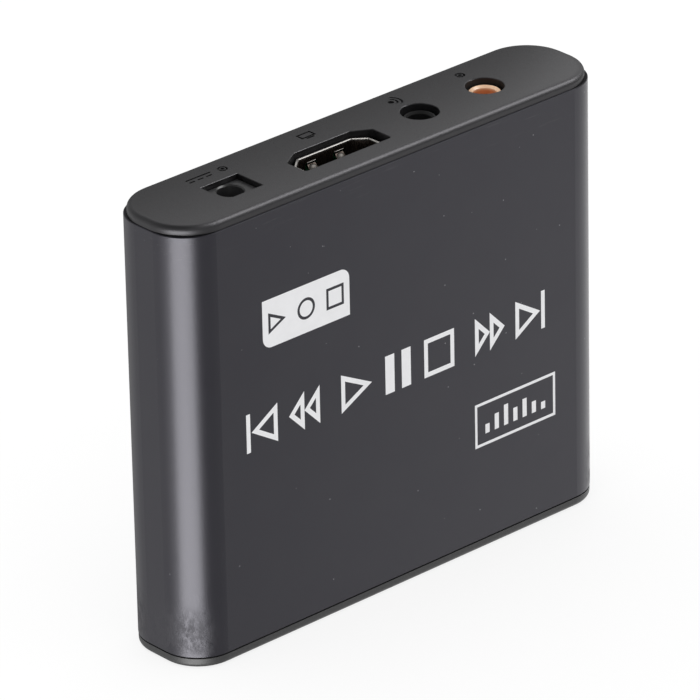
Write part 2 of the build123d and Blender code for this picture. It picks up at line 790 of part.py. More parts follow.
def infrared_eye():
    body = block(eye_x - eye_width / 2, eye_x + eye_width / 2, eye_y - eye_height / 2, eye_y + eye_height / 2,
                 eye_z, eye_z + eye_thickness)
    dome = Pos(eye_x, eye_y, eye_z) * Sphere(eye_dome)
    body += dome & block(eye_x - eye_dome, eye_x + eye_dome, eye_y - eye_dome, eye_y + eye_dome,
                         eye_z - eye_dome / 2, eye_z + 0.1)
    top = eye_z + eye_thickness
    half = eye_lead / 2
    for n in (-1, 0, 1):
        x = eye_x + n * eye_lead_pitch
        body += block(x - half, x + half, eye_y - half, eye_y + half, top - 0.2, top + eye_lead_rise)
        body += board_tab(x, top + eye_lead_rise, eye_lead, eye_lead, eye_y - half, foot_through)
    return body


def infrared_window():
    pane = RectangleRounded(window_width, window_height, window_flange - window_gap)
    rim = RectangleRounded(window_width + 2 * window_flange, window_height + 2 * window_flange, window_flange)
    window = prism(pane, window_setback, foot_plug_top)
    window += prism(rim, foot_plug_top, foot_plug_top + window_flange_thickness)
    return Pos(eye_x, eye_y, 0) * window


def light_pipe_rod():
    top = foot_plug_top + light_flange_thickness
    pipe = rod_z(light_x, light_y, light_pipe / 2, window_setback, top)
    return pipe + rod_z(light_x, light_y, light_pipe / 2 + light_flange, foot_plug_top, top)


def status_light():
    low = foot_plug_top + light_flange_thickness + light_gap
    half = light_block / 2
    return block(light_x - half, light_x + half, board_front - light_block, board_front, low, low + light_block)


# Parts soldered to the board

def chip(place, width, length, height):
    x, z = place
    return block(x - width / 2, x + width / 2, board_front - height, board_front, z - length / 2, z + length / 2)


def heat_pad():
    x, z = processor_place
    back = board_front - processor_height
    half = heat_pad_size / 2
    return block(x - half, x + half, back - heat_pad_thickness, back, z - half, z + half)


def heat_sink():
    x, z = processor_place
    back = board_front - processor_height - heat_pad_thickness
    half = heat_sink_size / 2
    sink = block(x - half, x + half, back - heat_sink_base, back, z - half, z + half)
    step = (heat_sink_size - heat_sink_fin) / (heat_sink_fins - 1)
    for n in range(heat_sink_fins):
        left = x - half + n * step
        sink += block(left, left + heat_sink_fin, back - heat_sink_height, back - heat_sink_base, z - half, z + half)
    return sink


def crystal_can():
    x, z = crystal_place
    width, length = crystal_size
    can = extrude(Plane(origin=(x, board_front, z), x_dir=(1, 0, 0), z_dir=(0, -1, 0))
                  * SlotOverall(length, width, rotation=90), crystal_height)
    return fillet(can.edges().group_by(Axis.Y)[0], 0.4)


def electrolytic(place):
    x, z = place
    radius = capacitor_diameter / 2
    can = rod_y(x, z, radius, board_front - capacitor_height, board_front - capacitor_base / 2)
    can = fillet(can.edges().group_by(Axis.Y)[0], 0.3)
    foot = block(x - capacitor_half, x + capacitor_half, board_front - capacitor_base, board_front,
                 z - capacitor_half, z + capacitor_half)
    return can + chamfer(foot.edges().filter_by(Axis.Y).sort_by(Axis.X)[-2:], 1.0)


def power_inductor(place):
    coil = chip(place, inductor_size, inductor_size, inductor_height)
    return chamfer(coil.edges().filter_by(Axis.Y), 1.0)


def small_parts():
    return [chip(place, *passive_size) for place in small_places]


def main_board():
    board = block(-board_width / 2, board_width / 2, board_front, board_back, foot_plug_top, board_top)
    for x, z, width, length in board_holes:
        board -= block(x - width / 2, x + width / 2, board_front - 1, board_back + 1, z - length / 2, z + length / 2)
    return board


nodes = {"case_sleeve": case_sleeve(), "socket_end_cap": socket_end_cap(), "socket_cap_collar": socket_cap_collar(),
         "foot_end_cap": foot_end_cap()}
(nodes["video_socket_shell"], nodes["video_socket_insulator"], nodes["video_socket_contacts"]) = video_socket()
(nodes["power_jack_body"], nodes["power_jack_pin"], nodes["power_jack_leaf"],
 nodes["power_jack_terminals"]) = power_jack()
for jack_name, jack_x in (("remote_jack", remote_x), ("av_jack", av_x)):
    jack_body, jack_blades, jack_tabs = round_jack(jack_x)
    nodes[jack_name + "_body"] = jack_body
    nodes[jack_name + "_terminals"] = jack_tabs
    for blade_name, blade in jack_blades.items():
        nodes[jack_name + "_" + blade_name + "_leaf"] = blade
(nodes["data_port_shell"], nodes["data_port_insulator"], nodes["data_port_contacts"]) = data_port()
(nodes["card_socket_base"], nodes["card_socket_cover"], nodes["card_socket_contacts"]) = card_socket()
nodes["card_slider"] = card_slider()
nodes["card_cam_link"] = card_link()
nodes["card_spring"] = card_spring()
nodes["infrared_eye"] = infrared_eye()
nodes["infrared_window"] = infrared_window()
nodes["status_light"] = status_light()
nodes["status_light_pipe"] = light_pipe_rod()
nodes["processor_chip"] = chip(processor_place, processor_size, processor_size, processor_height)
nodes["heat_pad"] = heat_pad()
nodes["heat_sink"] = heat_sink()
nodes["memory_chip"] = chip(memory_place, *memory_size)
nodes["flash_chip"] = chip(flash_place, *flash_size)
nodes["regulator_chips"] = group(chip(place, *regulator_size) for place in regulator_places)
nodes["crystal_can"] = crystal_can()
nodes["electrolytic_capacitors"] = group(electrolytic(place) for place in capacitor_places)
nodes["power_inductors"] = group(power_inductor(place) for place in inductor_places)
nodes["chip_parts"] = group(small_parts())
nodes["main_board"] = main_board()

os.makedirs("parts", exist_ok=True)
for node, shape in nodes.items():
    export_step(shape, "parts/" + node + ".step")
    print(node, len(shape.solids()), "solid(s)")
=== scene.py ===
from math import acos, cos, pi, radians, sin, tau

import bmesh
import bpy
from mathutils import Matrix, Vector


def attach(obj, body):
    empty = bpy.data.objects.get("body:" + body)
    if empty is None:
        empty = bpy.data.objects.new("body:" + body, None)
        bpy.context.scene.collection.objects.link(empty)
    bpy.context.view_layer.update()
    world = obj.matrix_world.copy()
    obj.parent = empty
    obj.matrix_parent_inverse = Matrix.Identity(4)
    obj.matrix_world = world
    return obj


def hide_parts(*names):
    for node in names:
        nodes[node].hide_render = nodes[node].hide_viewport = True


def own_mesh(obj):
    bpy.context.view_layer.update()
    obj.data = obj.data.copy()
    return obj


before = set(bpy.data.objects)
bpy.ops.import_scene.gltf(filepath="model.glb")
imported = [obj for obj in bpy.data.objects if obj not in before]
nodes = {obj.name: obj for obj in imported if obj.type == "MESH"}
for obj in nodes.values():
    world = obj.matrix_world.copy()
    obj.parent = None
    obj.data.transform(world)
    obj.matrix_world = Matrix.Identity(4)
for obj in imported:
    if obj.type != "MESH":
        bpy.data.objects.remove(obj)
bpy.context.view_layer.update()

scene = bpy.context.scene
scene.view_settings.view_transform = "Standard"
mm = 0.001
shift = Matrix.Translation
print("frame loaded:", len(nodes), "nodes")

# Camera at the photograph's place, in millimetres and degrees
cameraSetup = {
    "target": (-1.443, 1.457, 35.508),
    "turn": 41.87,
    "tilt": 26.15,
    "roll": 1.2166,
    "distance": 1068.56,
    "lens": 374.7,
    "sensor": 36,
    "clip": (10, 50000),
}


def placeCamera(setup):
    turn, tilt, roll = (radians(setup[key]) for key in ("turn", "tilt", "roll"))
    forward = Vector((sin(turn) * cos(tilt), cos(turn) * cos(tilt), -sin(tilt)))
    level = Vector((cos(turn), -sin(turn), 0))
    right = level * cos(roll) - level.cross(forward) * sin(roll)
    up = right.cross(forward)
    spot = (Vector(setup["target"]) - forward * setup["distance"]) * mm
    lens = bpy.data.cameras.new("photoCamera")
    lens.sensor_width = setup["sensor"]
    lens.lens = setup["lens"]
    lens.clip_start, lens.clip_end = (far * mm for far in setup["clip"])
    camera = bpy.data.objects.new("photoCamera", lens)
    scene.collection.objects.link(camera)
    camera.matrix_world = shift(spot) @ Matrix((right, up, -forward)).transposed().to_4x4()
    scene.camera = camera


placeCamera(cameraSetup)
print("camera placed")


# Small helpers for materials: values are sockets or plain numbers, and a socket knows its own tree
def isSocket(value):
    return isinstance(value, bpy.types.NodeSocket)


def fill(node, values):
    for key, value in values.items():
        if isSocket(value):
            node.id_data.links.new(value, node.inputs[key])
        else:
            node.inputs[key].default_value = value


def coat(shader, colour, roughness, normal=None):
    fill(shader, {"Base Color": colour, "Roughness": roughness})
    if normal is not None:
        fill(shader, {"Normal": normal})


def newMaterial(name, values={}):
    material = bpy.data.materials.new(name)
    material.use_nodes = True
    shader = material.node_tree.nodes["Principled BSDF"]
    fill(shader, values)
    return shader


def addNode(tree, kind, values, **settings):
    node = tree.nodes.new("ShaderNode" + kind)
    for key, value in settings.items():
        setattr(node, key, value)
    fill(node, values)
    return node.outputs


def calc(operation, first, second=0.0):
    tree = (first if isSocket(first) else second).id_data
    return addNode(tree, "Math", {0: first, 1: second}, operation=operation)[0]


def times(first, second):
    return calc("MULTIPLY", first, second)


def millimetres(shader, stretch=(1, 1, 1)):
    place = addNode(shader.id_data, "TexCoord", {})["Object"]
    return addNode(shader.id_data, "Mapping", {"Vector": place, "Scale": [1000 * s for s in stretch]})[0]


def noise(vector, scale, detail=2.0, rough=0.5):
    values = {"Vector": vector, "Scale": scale, "Detail": detail, "Roughness": rough}
    return addNode(vector.id_data, "TexNoise", values)["Fac"]


def remap(value, low, high, toLow=0.0, toHigh=1.0):
    values = {"Value": value, "From Min": low, "From Max": high, "To Min": toLow, "To Max": toHigh}
    return addNode(value.id_data, "MapRange", values)["Result"]


def laidOver(grain, low, high):
    # The usual reach of a noise, laid over low to high
    return remap(grain, 0.3, 0.7, low, high)


def band(value, rise, fall):
    return times(remap(value, *rise), remap(value, *fall))


def mixColour(factor, first, second):
    first, second = (value if isSocket(value) else (*value, 1) for value in (first, second))
    return addNode(factor.id_data, "Mix", {0: factor, 6: first, 7: second}, data_type="RGBA")[2]


def mixNumber(factor, first, second):
    return addNode(factor.id_data, "Mix", {0: factor, 2: first, 3: second})[0]


def bump(height, distance):
    values = {"Strength": 1, "Distance": distance * mm, "Height": height}
    return addNode(height.id_data, "Bump", values)["Normal"]


def split(vector):
    return addNode(vector.id_data, "SeparateXYZ", {0: vector})


def specks(place, scale, size, share):
    # Sparse dots: one in each cell of a flat grid, kept where the cell's own random number is low
    x, y, z = split(place)
    across = calc("ADD", x, times(y, 1.7))  # front and back differ
    flat = addNode(place.id_data, "CombineXYZ", {0: across, 1: z})[0]
    cells = addNode(place.id_data, "TexVoronoi", {"Vector": flat, "Scale": scale}, voronoi_dimensions="2D")
    near = calc("LESS_THAN", cells["Distance"], size * scale)
    return times(near, calc("LESS_THAN", split(cells["Color"])[0], share))


# Light: a white room, whose walls look grey and patchy in gloss, with boxes that show in gloss alone:
# strong ones for the dark case, softer ones for bare metal and the board. Sizes are millimetres, and a glow
# is its direction, its inner and outer angle, and what it adds to the walls
darkShell = ("case_sleeve", "socket_end_cap", "socket_cap_collar", "foot_end_cap")
darkSockets = ("power_jack_body", "av_jack_body", "remote_jack_body")
deepSteel = ("video_socket_shell",)
upperRight = (0.60, -0.44, 0.67)
lightSetup = {
    "fill": 1.0,
    "seen": 1.0,
    "walls": 0.45,
    "middle": (0, 0, 35),
    "glows": (
        ((-0.60, 0.67, -0.44), (15, 55), 0.36),
        ((0.70, -0.60, -0.38), (10, 45), -0.21),
        ((0.35, -0.83, -0.44), (8, 22), 0.25),
        ((-0.25, -0.865, -0.44), (4, 16), -0.40),
        ((0.44, 0.49, 0.75), (10, 24), 0.90),
        ((-0.40, -0.18, 0.90), (15, 42), -0.42),
        ((0.66, 0.74, 0.09), (12, 24), -0.30),
    ),
    "lamps": {
        "leftBox": {"toward": (-0.766, -0.469, -0.438), "away": 900, "size": (850, 640), "radiance": 9.35,
                    "lights": darkShell, "from": (0, 0, -45)},
        "fadeBox": {"toward": (-0.890, 0.125, -0.438), "away": 900, "size": (330, 700), "radiance": 0.9,
                    "lights": darkShell[:1]},
        "highBox": {"toward": upperRight, "away": 800, "size": (480, 480), "radiance": 7.0,
                    "lights": darkShell[1:3] + darkSockets[:2]},
        "capCard": {"toward": (1, 0, 0), "away": 120, "size": (265, 175), "radiance": 0.48,
                    "lights": darkShell[1:3], "from": (0, -47, 172)},
        "rimBox": {"toward": upperRight, "away": 800, "size": (220, 220), "radiance": 1.4,
                   "lights": deepSteel},
        "bendBox": {"toward": (-0.346, -0.276, 0.898), "away": 800, "size": (220, 220), "radiance": 2.0,
                    "lights": deepSteel},
        "rightCard": {"toward": (1, 0, 0), "away": 250, "size": (520, 400), "radiance": 1.08,
                      "lights": darkShell, "from": (0, -20, -220)},
        "edgeBox": {"toward": upperRight, "away": 800, "size": (280, 280), "radiance": 1.6,
                    "lights": darkShell[:1]},
        "benchLeft": {"toward": (-0.65, -0.60, 0.46), "away": 700, "size": (700, 500), "radiance": 0.9},
        "benchRight": {"toward": (0.80, -0.45, 0.40), "away": 700, "size": (500, 500), "radiance": 0.7},
    },
}
benchParts = bpy.data.collections.new("benchParts")
floorSetup = {"half": 2500, "drop": 0.05, "tone": 0.92, "lift": 0.75, "glow": 1.06}


def seenDirectly(tree):
    path = addNode(tree, "LightPath", {})
    return calc("MAXIMUM", path["Is Camera Ray"], path["Is Transmission Ray"]), path


def lightRoom(setup):
    world = bpy.data.worlds.new("whiteRoom")
    scene.world = world
    world.use_nodes = True
    tree = world.node_tree
    way = addNode(tree, "TexCoord", {})["Generated"]
    walls = setup["walls"]
    for toward, spread, added in setup["glows"]:
        ways = {0: way, 1: Vector(toward).normalized()}
        cosine = addNode(tree, "VectorMath", ways, operation="DOT_PRODUCT")["Value"]
        inner, outer = (cos(radians(angle)) for angle in spread)
        patch = remap(cosine, outer, inner, 0, added)
        patch.node.interpolation_type = "SMOOTHSTEP"
        walls = calc("ADD", walls, patch)
    seen, path = seenDirectly(tree)
    strength = mixNumber(path["Is Glossy Ray"], setup["fill"], walls)
    strength = mixNumber(seen, strength, setup["seen"])
    fill(tree.nodes["Background"], {"Color": (1, 1, 1, 1), "Strength": strength})
    for name, lamp in setup["lamps"].items():
        data = bpy.data.lights.new(name, "AREA")
        data.shape = "RECTANGLE"
        data.size, data.size_y = (side * mm for side in lamp["size"])
        data.energy = lamp["radiance"] * pi * data.size * data.size_y
        piece = bpy.data.objects.new(name, data)
        scene.collection.objects.link(piece)
        toward = Vector(lamp["toward"]).normalized()
        piece.location = (Vector(lamp.get("from", setup["middle"])) + toward * lamp["away"]) * mm
        piece.rotation_euler = (-toward).to_track_quat("-Z", "Y").to_euler()
        piece.visible_camera = False
        piece.visible_diffuse = False  # the walls give the plain light, the boxes only the gloss
        lit = bpy.data.collections.new(name + "Lights") if "lights" in lamp else benchParts
        for node in lamp.get("lights", ()):
            lit.objects.link(nodes[node])
        piece.light_linking.receiver_collection = lit


def layFloor(setup):
    half = setup["half"] * mm
    mesh = bpy.data.meshes.new("floor")
    corners = [(-half, -half, 0), (half, -half, 0), (half, half, 0), (-half, half, 0)]
    mesh.from_pydata(corners, [], [(0, 1, 2, 3)])
    floor = bpy.data.objects.new("floor", mesh)
    scene.collection.objects.link(floor)
    floor.location.z = -setup["drop"] * mm
    floor.visible_glossy = False  # gloss shows the room's walls
    floor.visible_shadow = False
    tone = (setup["tone"],) * 3 + (1,)
    shader = newMaterial("paleFloor", {"Base Color": tone, "Roughness": 1, "Specular IOR Level": 0})
    tree = shader.id_data
    glow = addNode(tree, "Emission", {"Strength": setup["glow"]})[0]
    share = times(seenDirectly(tree)[0], setup["lift"])
    blend = addNode(tree, "MixShader", {0: share, 1: shader.outputs[0], 2: glow})[0]
    fill(tree.nodes["Material Output"], {0: blend})
    mesh.materials.append(bpy.data.materials["paleFloor"])


for name, node in nodes.items():
    if name not in darkShell + darkSockets + deepSteel:
        benchParts.objects.link(node)
lightRoom(lightSetup)
layFloor(floorSetup)
print("room lit")

# Case paint: satin dark grey outside, bare extrusion inside, in millimetres, with painted seam shade on the
# cut ends.
# Rubbed patches sit on the lower corners, and hairline scratches under the upper cap
sleeveLook = {
    "paint": (0.0102, 0.0096, 0.0148),
    "paintWorn": (0.0150, 0.0144, 0.0188),
    "tint": (0.939, 0.925, 1.0),
    "bare": (0.44, 0.44, 0.45),
    "halfWidth": 41.5,
    "halfDepth": 8.35,
    "corner": 6.4,
    "paintDepth": 1.0,
    # The ends' heights, tone, inset and roughness, and the corner span, give painted seam shade on the cut
    # ends
    "ends": (1.76, 68.93),
    "seamShadeTone": (0.004, 0.004, 0.0045),
    "seamShadeInset": 0.11,
    "seamShadeRough": 0.35,
    "seamShadeCorners": (33.5, 35.5),
    "roughness": (0.33, 0.39),
    "grain": 0.010,
    "cloud": {"stretch": (1, 1, 1), "noise": (0.12, 2.0), "range": (0.35, 0.65, 0.0, 0.35)},
    "rubbed": {"stretch": (1, 1, 0.6), "noise": (0.95, 5.0, 0.75), "range": (0.40, 0.58), "x": (36.5, 39.5),
               "z": ((10.5, 6.5), (2.0, 3.0)), "tone": (0.045, 0.044, 0.048), "share": 0.35, "rough": 0.27,
               "raise": 0.012},
    "hairlines": {"stretch": (0.10, 1, 2.4), "noise": (0.9, 4.0, 0.7), "range": (0.60, 0.72),
                  "z": ((63.5, 67.5), (69.0, 68.6)), "tone": (0.060, 0.059, 0.063), "share": 0.55},
    "dust": {"dots": ((0.17, 0.10, 0.16), (0.31, 0.06, 0.05)), "tone": (0.34, 0.34, 0.35), "share": 0.6},
}


def depthInTube(vector, look):
    x, y, _ = split(vector)
    reach = []
    for value, half in ((x, look["halfWidth"]), (y, look["halfDepth"])):
        past = calc("SUBTRACT", calc("ABSOLUTE", value), half - look["corner"])
        past = calc("MAXIMUM", past, 0.0)
        reach.append(times(past, past))
    outward = calc("SQRT", calc("ADD", *reach))
    return calc("SUBTRACT", look["corner"], outward)


def patchy(shader, mark):
    return remap(noise(millimetres(shader, mark["stretch"]), *mark["noise"]), *mark["range"])


def sleevePaint(look):
    shader = newMaterial("sleevePaint", {"Specular Tint": (*look["tint"], 1)})
    place = millimetres(shader)
    x, _, z = split(place)
    wide = calc("ABSOLUTE", x)
    grain = noise(place, 5.0, 3.0, 0.6)
    rubbed, hairlines, dust = look["rubbed"], look["hairlines"], look["dust"]
    worn = times(times(patchy(shader, rubbed), band(z, *rubbed["z"])), remap(wide, *rubbed["x"]))
    hair = times(patchy(shader, hairlines), band(z, *hairlines["z"]))
    dots = calc("MAXIMUM", *[specks(place, *dot) for dot in dust["dots"]])
    tone = mixColour(patchy(shader, look["cloud"]), look["paint"], look["paintWorn"])
    for mask, mark in ((worn, rubbed), (hair, hairlines), (dots, dust)):
        tone = mixColour(times(mask, mark["share"]), tone, mark["tone"])
    depth = depthInTube(place, look)
    # Painted seam shade: the cut ends go dark all round the foot, and round the corners under the upper cap
    low, high = look["ends"]
    turned = times(calc("GREATER_THAN", z, high), remap(wide, *look["seamShadeCorners"]))
    ends = calc("MAXIMUM", calc("LESS_THAN", z, low), turned)
    ends = times(ends, calc("GREATER_THAN", depth, look["seamShadeInset"]))
    tone = mixColour(ends, tone, look["seamShadeTone"])
    inside = calc("GREATER_THAN", depth, look["paintDepth"])
    fill(shader, {"Metallic": inside})
    rough = laidOver(grain, *look["roughness"])
    for mask, more in ((worn, rubbed["rough"]), (ends, look["seamShadeRough"])):
        rough = calc("ADD", rough, times(mask, more))
    height = calc("ADD", times(grain, look["grain"]), times(worn, rubbed["raise"]))
    coat(shader, mixColour(inside, tone, look["bare"]), rough, bump(height, 1.0))


sleevePaint(sleeveLook)

# Moulded plastics: two colours, roughness range, depth and scale of the grain. The upper cap has a slightly
# crowned face, with painted shade on the walls of its cut-outs and in its pictograms
capLook = {"halfWidth": 41.4, "halfDepth": 8.25, "corner": 7.1, "rim": 1.2, "recessShadeTop": 70.3,
           "recessShade": (0.0030, 0.0030, 0.0032), "recessRoughness": 0.45, "crown": 0.0040,
           "tint": (0.965, 0.945, 1.0), "edge": (1.2, 0.7), "edgeRoughness": 0.42}
plasticLooks = {
    "capPlastic": ((0.0120, 0.0120, 0.0125), (0.0140, 0.0140, 0.0145), (0.26, 0.34), 0.010, 7.0, capLook),
    "footPlastic": ((0.030, 0.030, 0.031), (0.034, 0.034, 0.035), (0.45, 0.55), 0.010),
    "blackPlastic": ((0.010, 0.010, 0.0105), (0.014, 0.014, 0.015), (0.38, 0.50), 0.006),
    "nozzlePlastic": ((0.004, 0.004, 0.0045), (0.006, 0.006, 0.0065), (0.52, 0.64), 0.006),
    "jackPlastic": ((0.020, 0.020, 0.021), (0.026, 0.026, 0.027), (0.30, 0.40), 0.006),
    "sliderPlastic": ((0.72, 0.70, 0.64), (0.66, 0.64, 0.58), (0.40, 0.50), 0.004),
    "chipEpoxy": ((0.018, 0.018, 0.019), (0.023, 0.023, 0.024), (0.55, 0.70), 0.008, 12.0),
    "padGrey": ((0.42, 0.45, 0.50), (0.36, 0.39, 0.44), (0.70, 0.80), 0.010),
    "ceramicTan": ((0.42, 0.32, 0.22), (0.34, 0.26, 0.18), (0.45, 0.60), 0.006),
}


def mouldedPlastic(name, colour, darker, roughness, grainDepth, grainScale=7.0, cap=None):
    shader = newMaterial(name)
    place = millimetres(shader)
    grain = noise(place, grainScale, 3.0, 0.6)
    height = times(grain, grainDepth)
    tone = mixColour(noise(place, 0.25, 2.0), colour, darker)
    rough = laidOver(grain, *roughness)
    if cap:
        fill(shader, {"Specular Tint": (*cap["tint"], 1)})
        _, across, z = split(place)
        height = calc("SUBTRACT", height, times(times(across, across), cap["crown"]))
        depth = depthInTube(place, cap)
        rough = mixNumber(remap(depth, *cap["edge"]), rough, cap["edgeRoughness"])
        # Painted shade: below the cap's top face, inside the cut-outs and pictograms, the plastic goes near
        # black
        recessShade = times(calc("GREATER_THAN", depth, cap["rim"]),
                       calc("LESS_THAN", z, cap["recessShadeTop"]))
        tone = mixColour(recessShade, tone, cap["recessShade"])
        rough = mixNumber(recessShade, rough, cap["recessRoughness"])
    coat(shader, tone, rough, bump(height, 1.0))


for name, look in plasticLooks.items():
    mouldedPlastic(name, *look)

# Metals, drawn or rolled along one axis: two colours, roughness range, stretch, scale and depth of the
# lines, and painted shade inside the video socket's shell
# Painted shade inside the video socket's shell: heights over which it sets in, the span it covers, and its
# dark brown
socketInsideShade = {"between": (69.45, 69.15), "inside": ((-6.05, 7.15), (-1.45, 2.42)),
                 "colour": (0.24, 0.195, 0.168)}
metalLooks = {
    "shellSteel": ((0.66, 0.64, 0.61), (0.56, 0.54, 0.51), (0.25, 0.33)),
    "socketSteel": ((0.66, 0.64, 0.61), (0.58, 0.56, 0.53), (0.24, 0.30), (1, 1, 0.08), 6.0, 0.0003,
                    socketInsideShade),
    # The spring tips' steel is a darker copy of the shell's steel: painted shade deep in the socket
    "fingerSteel": ((0.20, 0.19, 0.175), (0.15, 0.14, 0.13), (0.28, 0.36)),
    "contactGold": ((0.86, 0.66, 0.32), (0.78, 0.58, 0.26), (0.20, 0.30)),
    "springSteel": ((0.56, 0.55, 0.54), (0.46, 0.45, 0.44), (0.24, 0.36)),
    "sinkMetal": ((0.60, 0.61, 0.63), (0.52, 0.53, 0.55), (0.30, 0.45)),
    "canMetal": ((0.78, 0.78, 0.79), (0.70, 0.70, 0.71), (0.18, 0.28), (1, 1, 1), 3.0),
}


def rolledMetal(name, colour, darker, roughness, along=(1, 1, 0.08), scale=6.0, depth=0.0006, insideShade=None):
    shader = newMaterial(name, {"Metallic": 1})
    place = millimetres(shader)
    lines = noise(millimetres(shader, along), scale, 4.0, 0.6)
    tone = mixColour(noise(place, 0.5, 3.0), colour, darker)
    # Painted shade: inside the video socket's shell the steel turns dark brown below the mouth
    if insideShade:
        x, y, z = split(place)
        shadeWithin = remap(z, *insideShade["between"])
        for value, (middle, half) in zip((x, y), insideShade["inside"]):
            off = calc("ABSOLUTE", calc("SUBTRACT", value, middle))
            shadeWithin = times(shadeWithin, calc("LESS_THAN", off, half))
        tone = mixColour(shadeWithin, tone, insideShade["colour"])
    coat(shader, tone, laidOver(lines, *roughness), bump(lines, depth))


for name, look in metalLooks.items():
    rolledMetal(name, *look)

# Small parts of the board: two colours, roughness range, metallic
plainLooks = {
    "tinLead": ((0.70, 0.70, 0.69), (0.60, 0.60, 0.60), (0.26, 0.40), 1.0),
    "bandBlack": ((0.016, 0.016, 0.018), (0.022, 0.022, 0.024), (0.40, 0.55)),
    "ferrite": ((0.060, 0.060, 0.064), (0.042, 0.042, 0.045), (0.55, 0.75)),
    "substrate": ((0.035, 0.110, 0.060), (0.028, 0.090, 0.050), (0.35, 0.50)),
    "resistorBlack": ((0.020, 0.020, 0.022), (0.030, 0.030, 0.032), (0.30, 0.45)),
    "maskedCopper": ((0.036, 0.215, 0.100), (0.030, 0.190, 0.088), (0.24, 0.34)),
    "boardWhite": ((0.78, 0.79, 0.76), (0.70, 0.71, 0.68), (0.50, 0.65)),
    "windingCopper": ((0.72, 0.36, 0.20), (0.62, 0.29, 0.15), (0.28, 0.40), 1.0),
}


def plainFinish(name, colour, darker, roughness, metallic=0.0):
    shader = newMaterial(name, {"Metallic": metallic})
    place = millimetres(shader)
    tone = mixColour(noise(place, 1.2, 3.0), colour, darker)
    coat(shader, tone, laidOver(noise(place, 5.0, 2.0), *roughness))


for name, look in plainLooks.items():
    plainFinish(name, *look)

# Green lacquer of the board, over a faint weave
lacquerLook = {"tone": (0.012, 0.105, 0.042), "patch": (0.016, 0.130, 0.055), "roughness": (0.22, 0.34),
               "weave": 0.006}


def boardLacquer(look):
    shader = newMaterial("boardGreen")
    place = millimetres(shader)
    weave = noise(place, 2.5, 2.0)
    patch = remap(noise(place, 0.15, 2.0), 0.4, 0.6)
    tone = mixColour(patch, look["tone"], look["patch"])
    coat(shader, tone, laidOver(weave, *look["roughness"]), bump(weave, look["weave"]))


boardLacquer(lacquerLook)

# Clear resins: colour and roughness range
resinLooks = {"lightPipe": ((0.92, 0.95, 0.96), (0.10, 0.20)),
              "windowRed": ((0.16, 0.006, 0.012), (0.06, 0.12))}


def clearResin(name, colour, roughness):
    shader = newMaterial(name, {"Transmission Weight": 1, "IOR": 1.49})
    swirl = noise(millimetres(shader), 0.8, 2.0)
    tone = mixColour(swirl, colour, [0.96 * c for c in colour])
    coat(shader, tone, laidOver(swirl, *roughness))


for name, look in resinLooks.items():
    clearResin(name, *look)

# The orange jack: orange plastic, with a painted highlight as a pale rim and lead-in, and painted shade as
# a deeper colour down the bore
orangeLook = {"axis": (24.3, -0.6), "bore": 2.0, "boreShadeFade": (69.35, 68.85), "lipHighlight": (68.6, 69.3), "swirl": 0.12,
              "body": (0.78, 0.37, 0.155), "rim": (0.95, 0.65, 0.43), "boreShade": (0.64, 0.215, 0.080),
              "roughness": (0.28, 0.40)}


def orangeJack(look):
    shader = newMaterial("orangePlastic")
    place = millimetres(shader)
    x, y, z = split(place)
    away = [calc("SUBTRACT", value, middle) for value, middle in zip((x, y), look["axis"])]
    reach = calc("SQRT", calc("ADD", *[times(value, value) for value in away]))
    swirl = laidOver(noise(place, 0.6, 3.0), 0.0, look["swirl"])
    # Painted highlight: paler towards the mouth; painted shade: the deeper colour down the bore, also laid
    # in faint random patches
    tone = mixColour(remap(z, *look["lipHighlight"]), look["body"], look["rim"])
    tone = mixColour(swirl, tone, look["boreShade"])
    boreShadeMask = times(calc("LESS_THAN", reach, look["bore"]), remap(z, *look["boreShadeFade"]))
    tone = mixColour(boreShadeMask, tone, look["boreShade"])
    coat(shader, tone, laidOver(noise(place, 7.0, 3.0), *look["roughness"]))


orangeJack(orangeLook)

# What each node wears: bare steel, unless it is named here
finishes = {
    "sleevePaint": ("case_sleeve",),
    "capPlastic": ("socket_end_cap", "socket_cap_collar"),
    "footPlastic": ("foot_end_cap",),
    "socketSteel": ("video_socket_shell",),
    "blackPlastic": ("video_socket_insulator", "data_port_insulator", "card_socket_base", "infrared_eye"),
    "contactGold": ("video_socket_contacts", "data_port_contacts", "card_socket_contacts"),
    "jackPlastic": ("power_jack_body",),
    "nozzlePlastic": ("remote_jack_body",),
    "orangePlastic": ("av_jack_body",),
    "sliderPlastic": ("card_slider",),
    "springSteel": ("card_cam_link", "card_spring"),
    "windowRed": ("infrared_window",),
    "lightPipe": ("status_light", "status_light_pipe"),
    "chipEpoxy": ("processor_chip", "memory_chip", "flash_chip", "regulator_chips", "power_inductors"),
    "padGrey": ("heat_pad",),
    "sinkMetal": ("heat_sink",),
    "canMetal": ("crystal_can", "electrolytic_capacitors"),
    "ceramicTan": ("chip_parts",),
    "boardGreen": ("main_board",),
}
finishOf = {name: finish for finish, names in finishes.items() for name in names}
for name, node in nodes.items():
    node.material_slots[0].material = bpy.data.materials[finishOf.get(name, "shellSteel")]
print("finishes set")


# Mesh helpers: shapes are built in millimetres and scaled when they become pieces
def addPart(shape, part, slot):
    bmesh.ops.recalc_face_normals(part, faces=part.faces[:])
    for face in part.faces:
        face.material_index = slot
    mesh = bpy.data.meshes.new("part")
    part.to_mesh(mesh)
    part.free()
    shape.from_mesh(mesh)
    bpy.data.meshes.remove(mesh)


def skin(shape, part, rings, slot, capped=True):
    # Faces from ring to ring, and over the first and the last one
    for low, high in zip(rings, rings[1:]):
        count = max(len(low), len(high))
        for k in range(count):
            n = (k + 1) % count
            ring = [low[k % len(low)], low[n % len(low)], high[n % len(high)], high[k % len(high)]]
            part.faces.new(list(dict.fromkeys(ring)))
    if capped:
        part.faces.new(rings[0])
        part.faces.new(rings[-1])
    addPart(shape, part, slot)


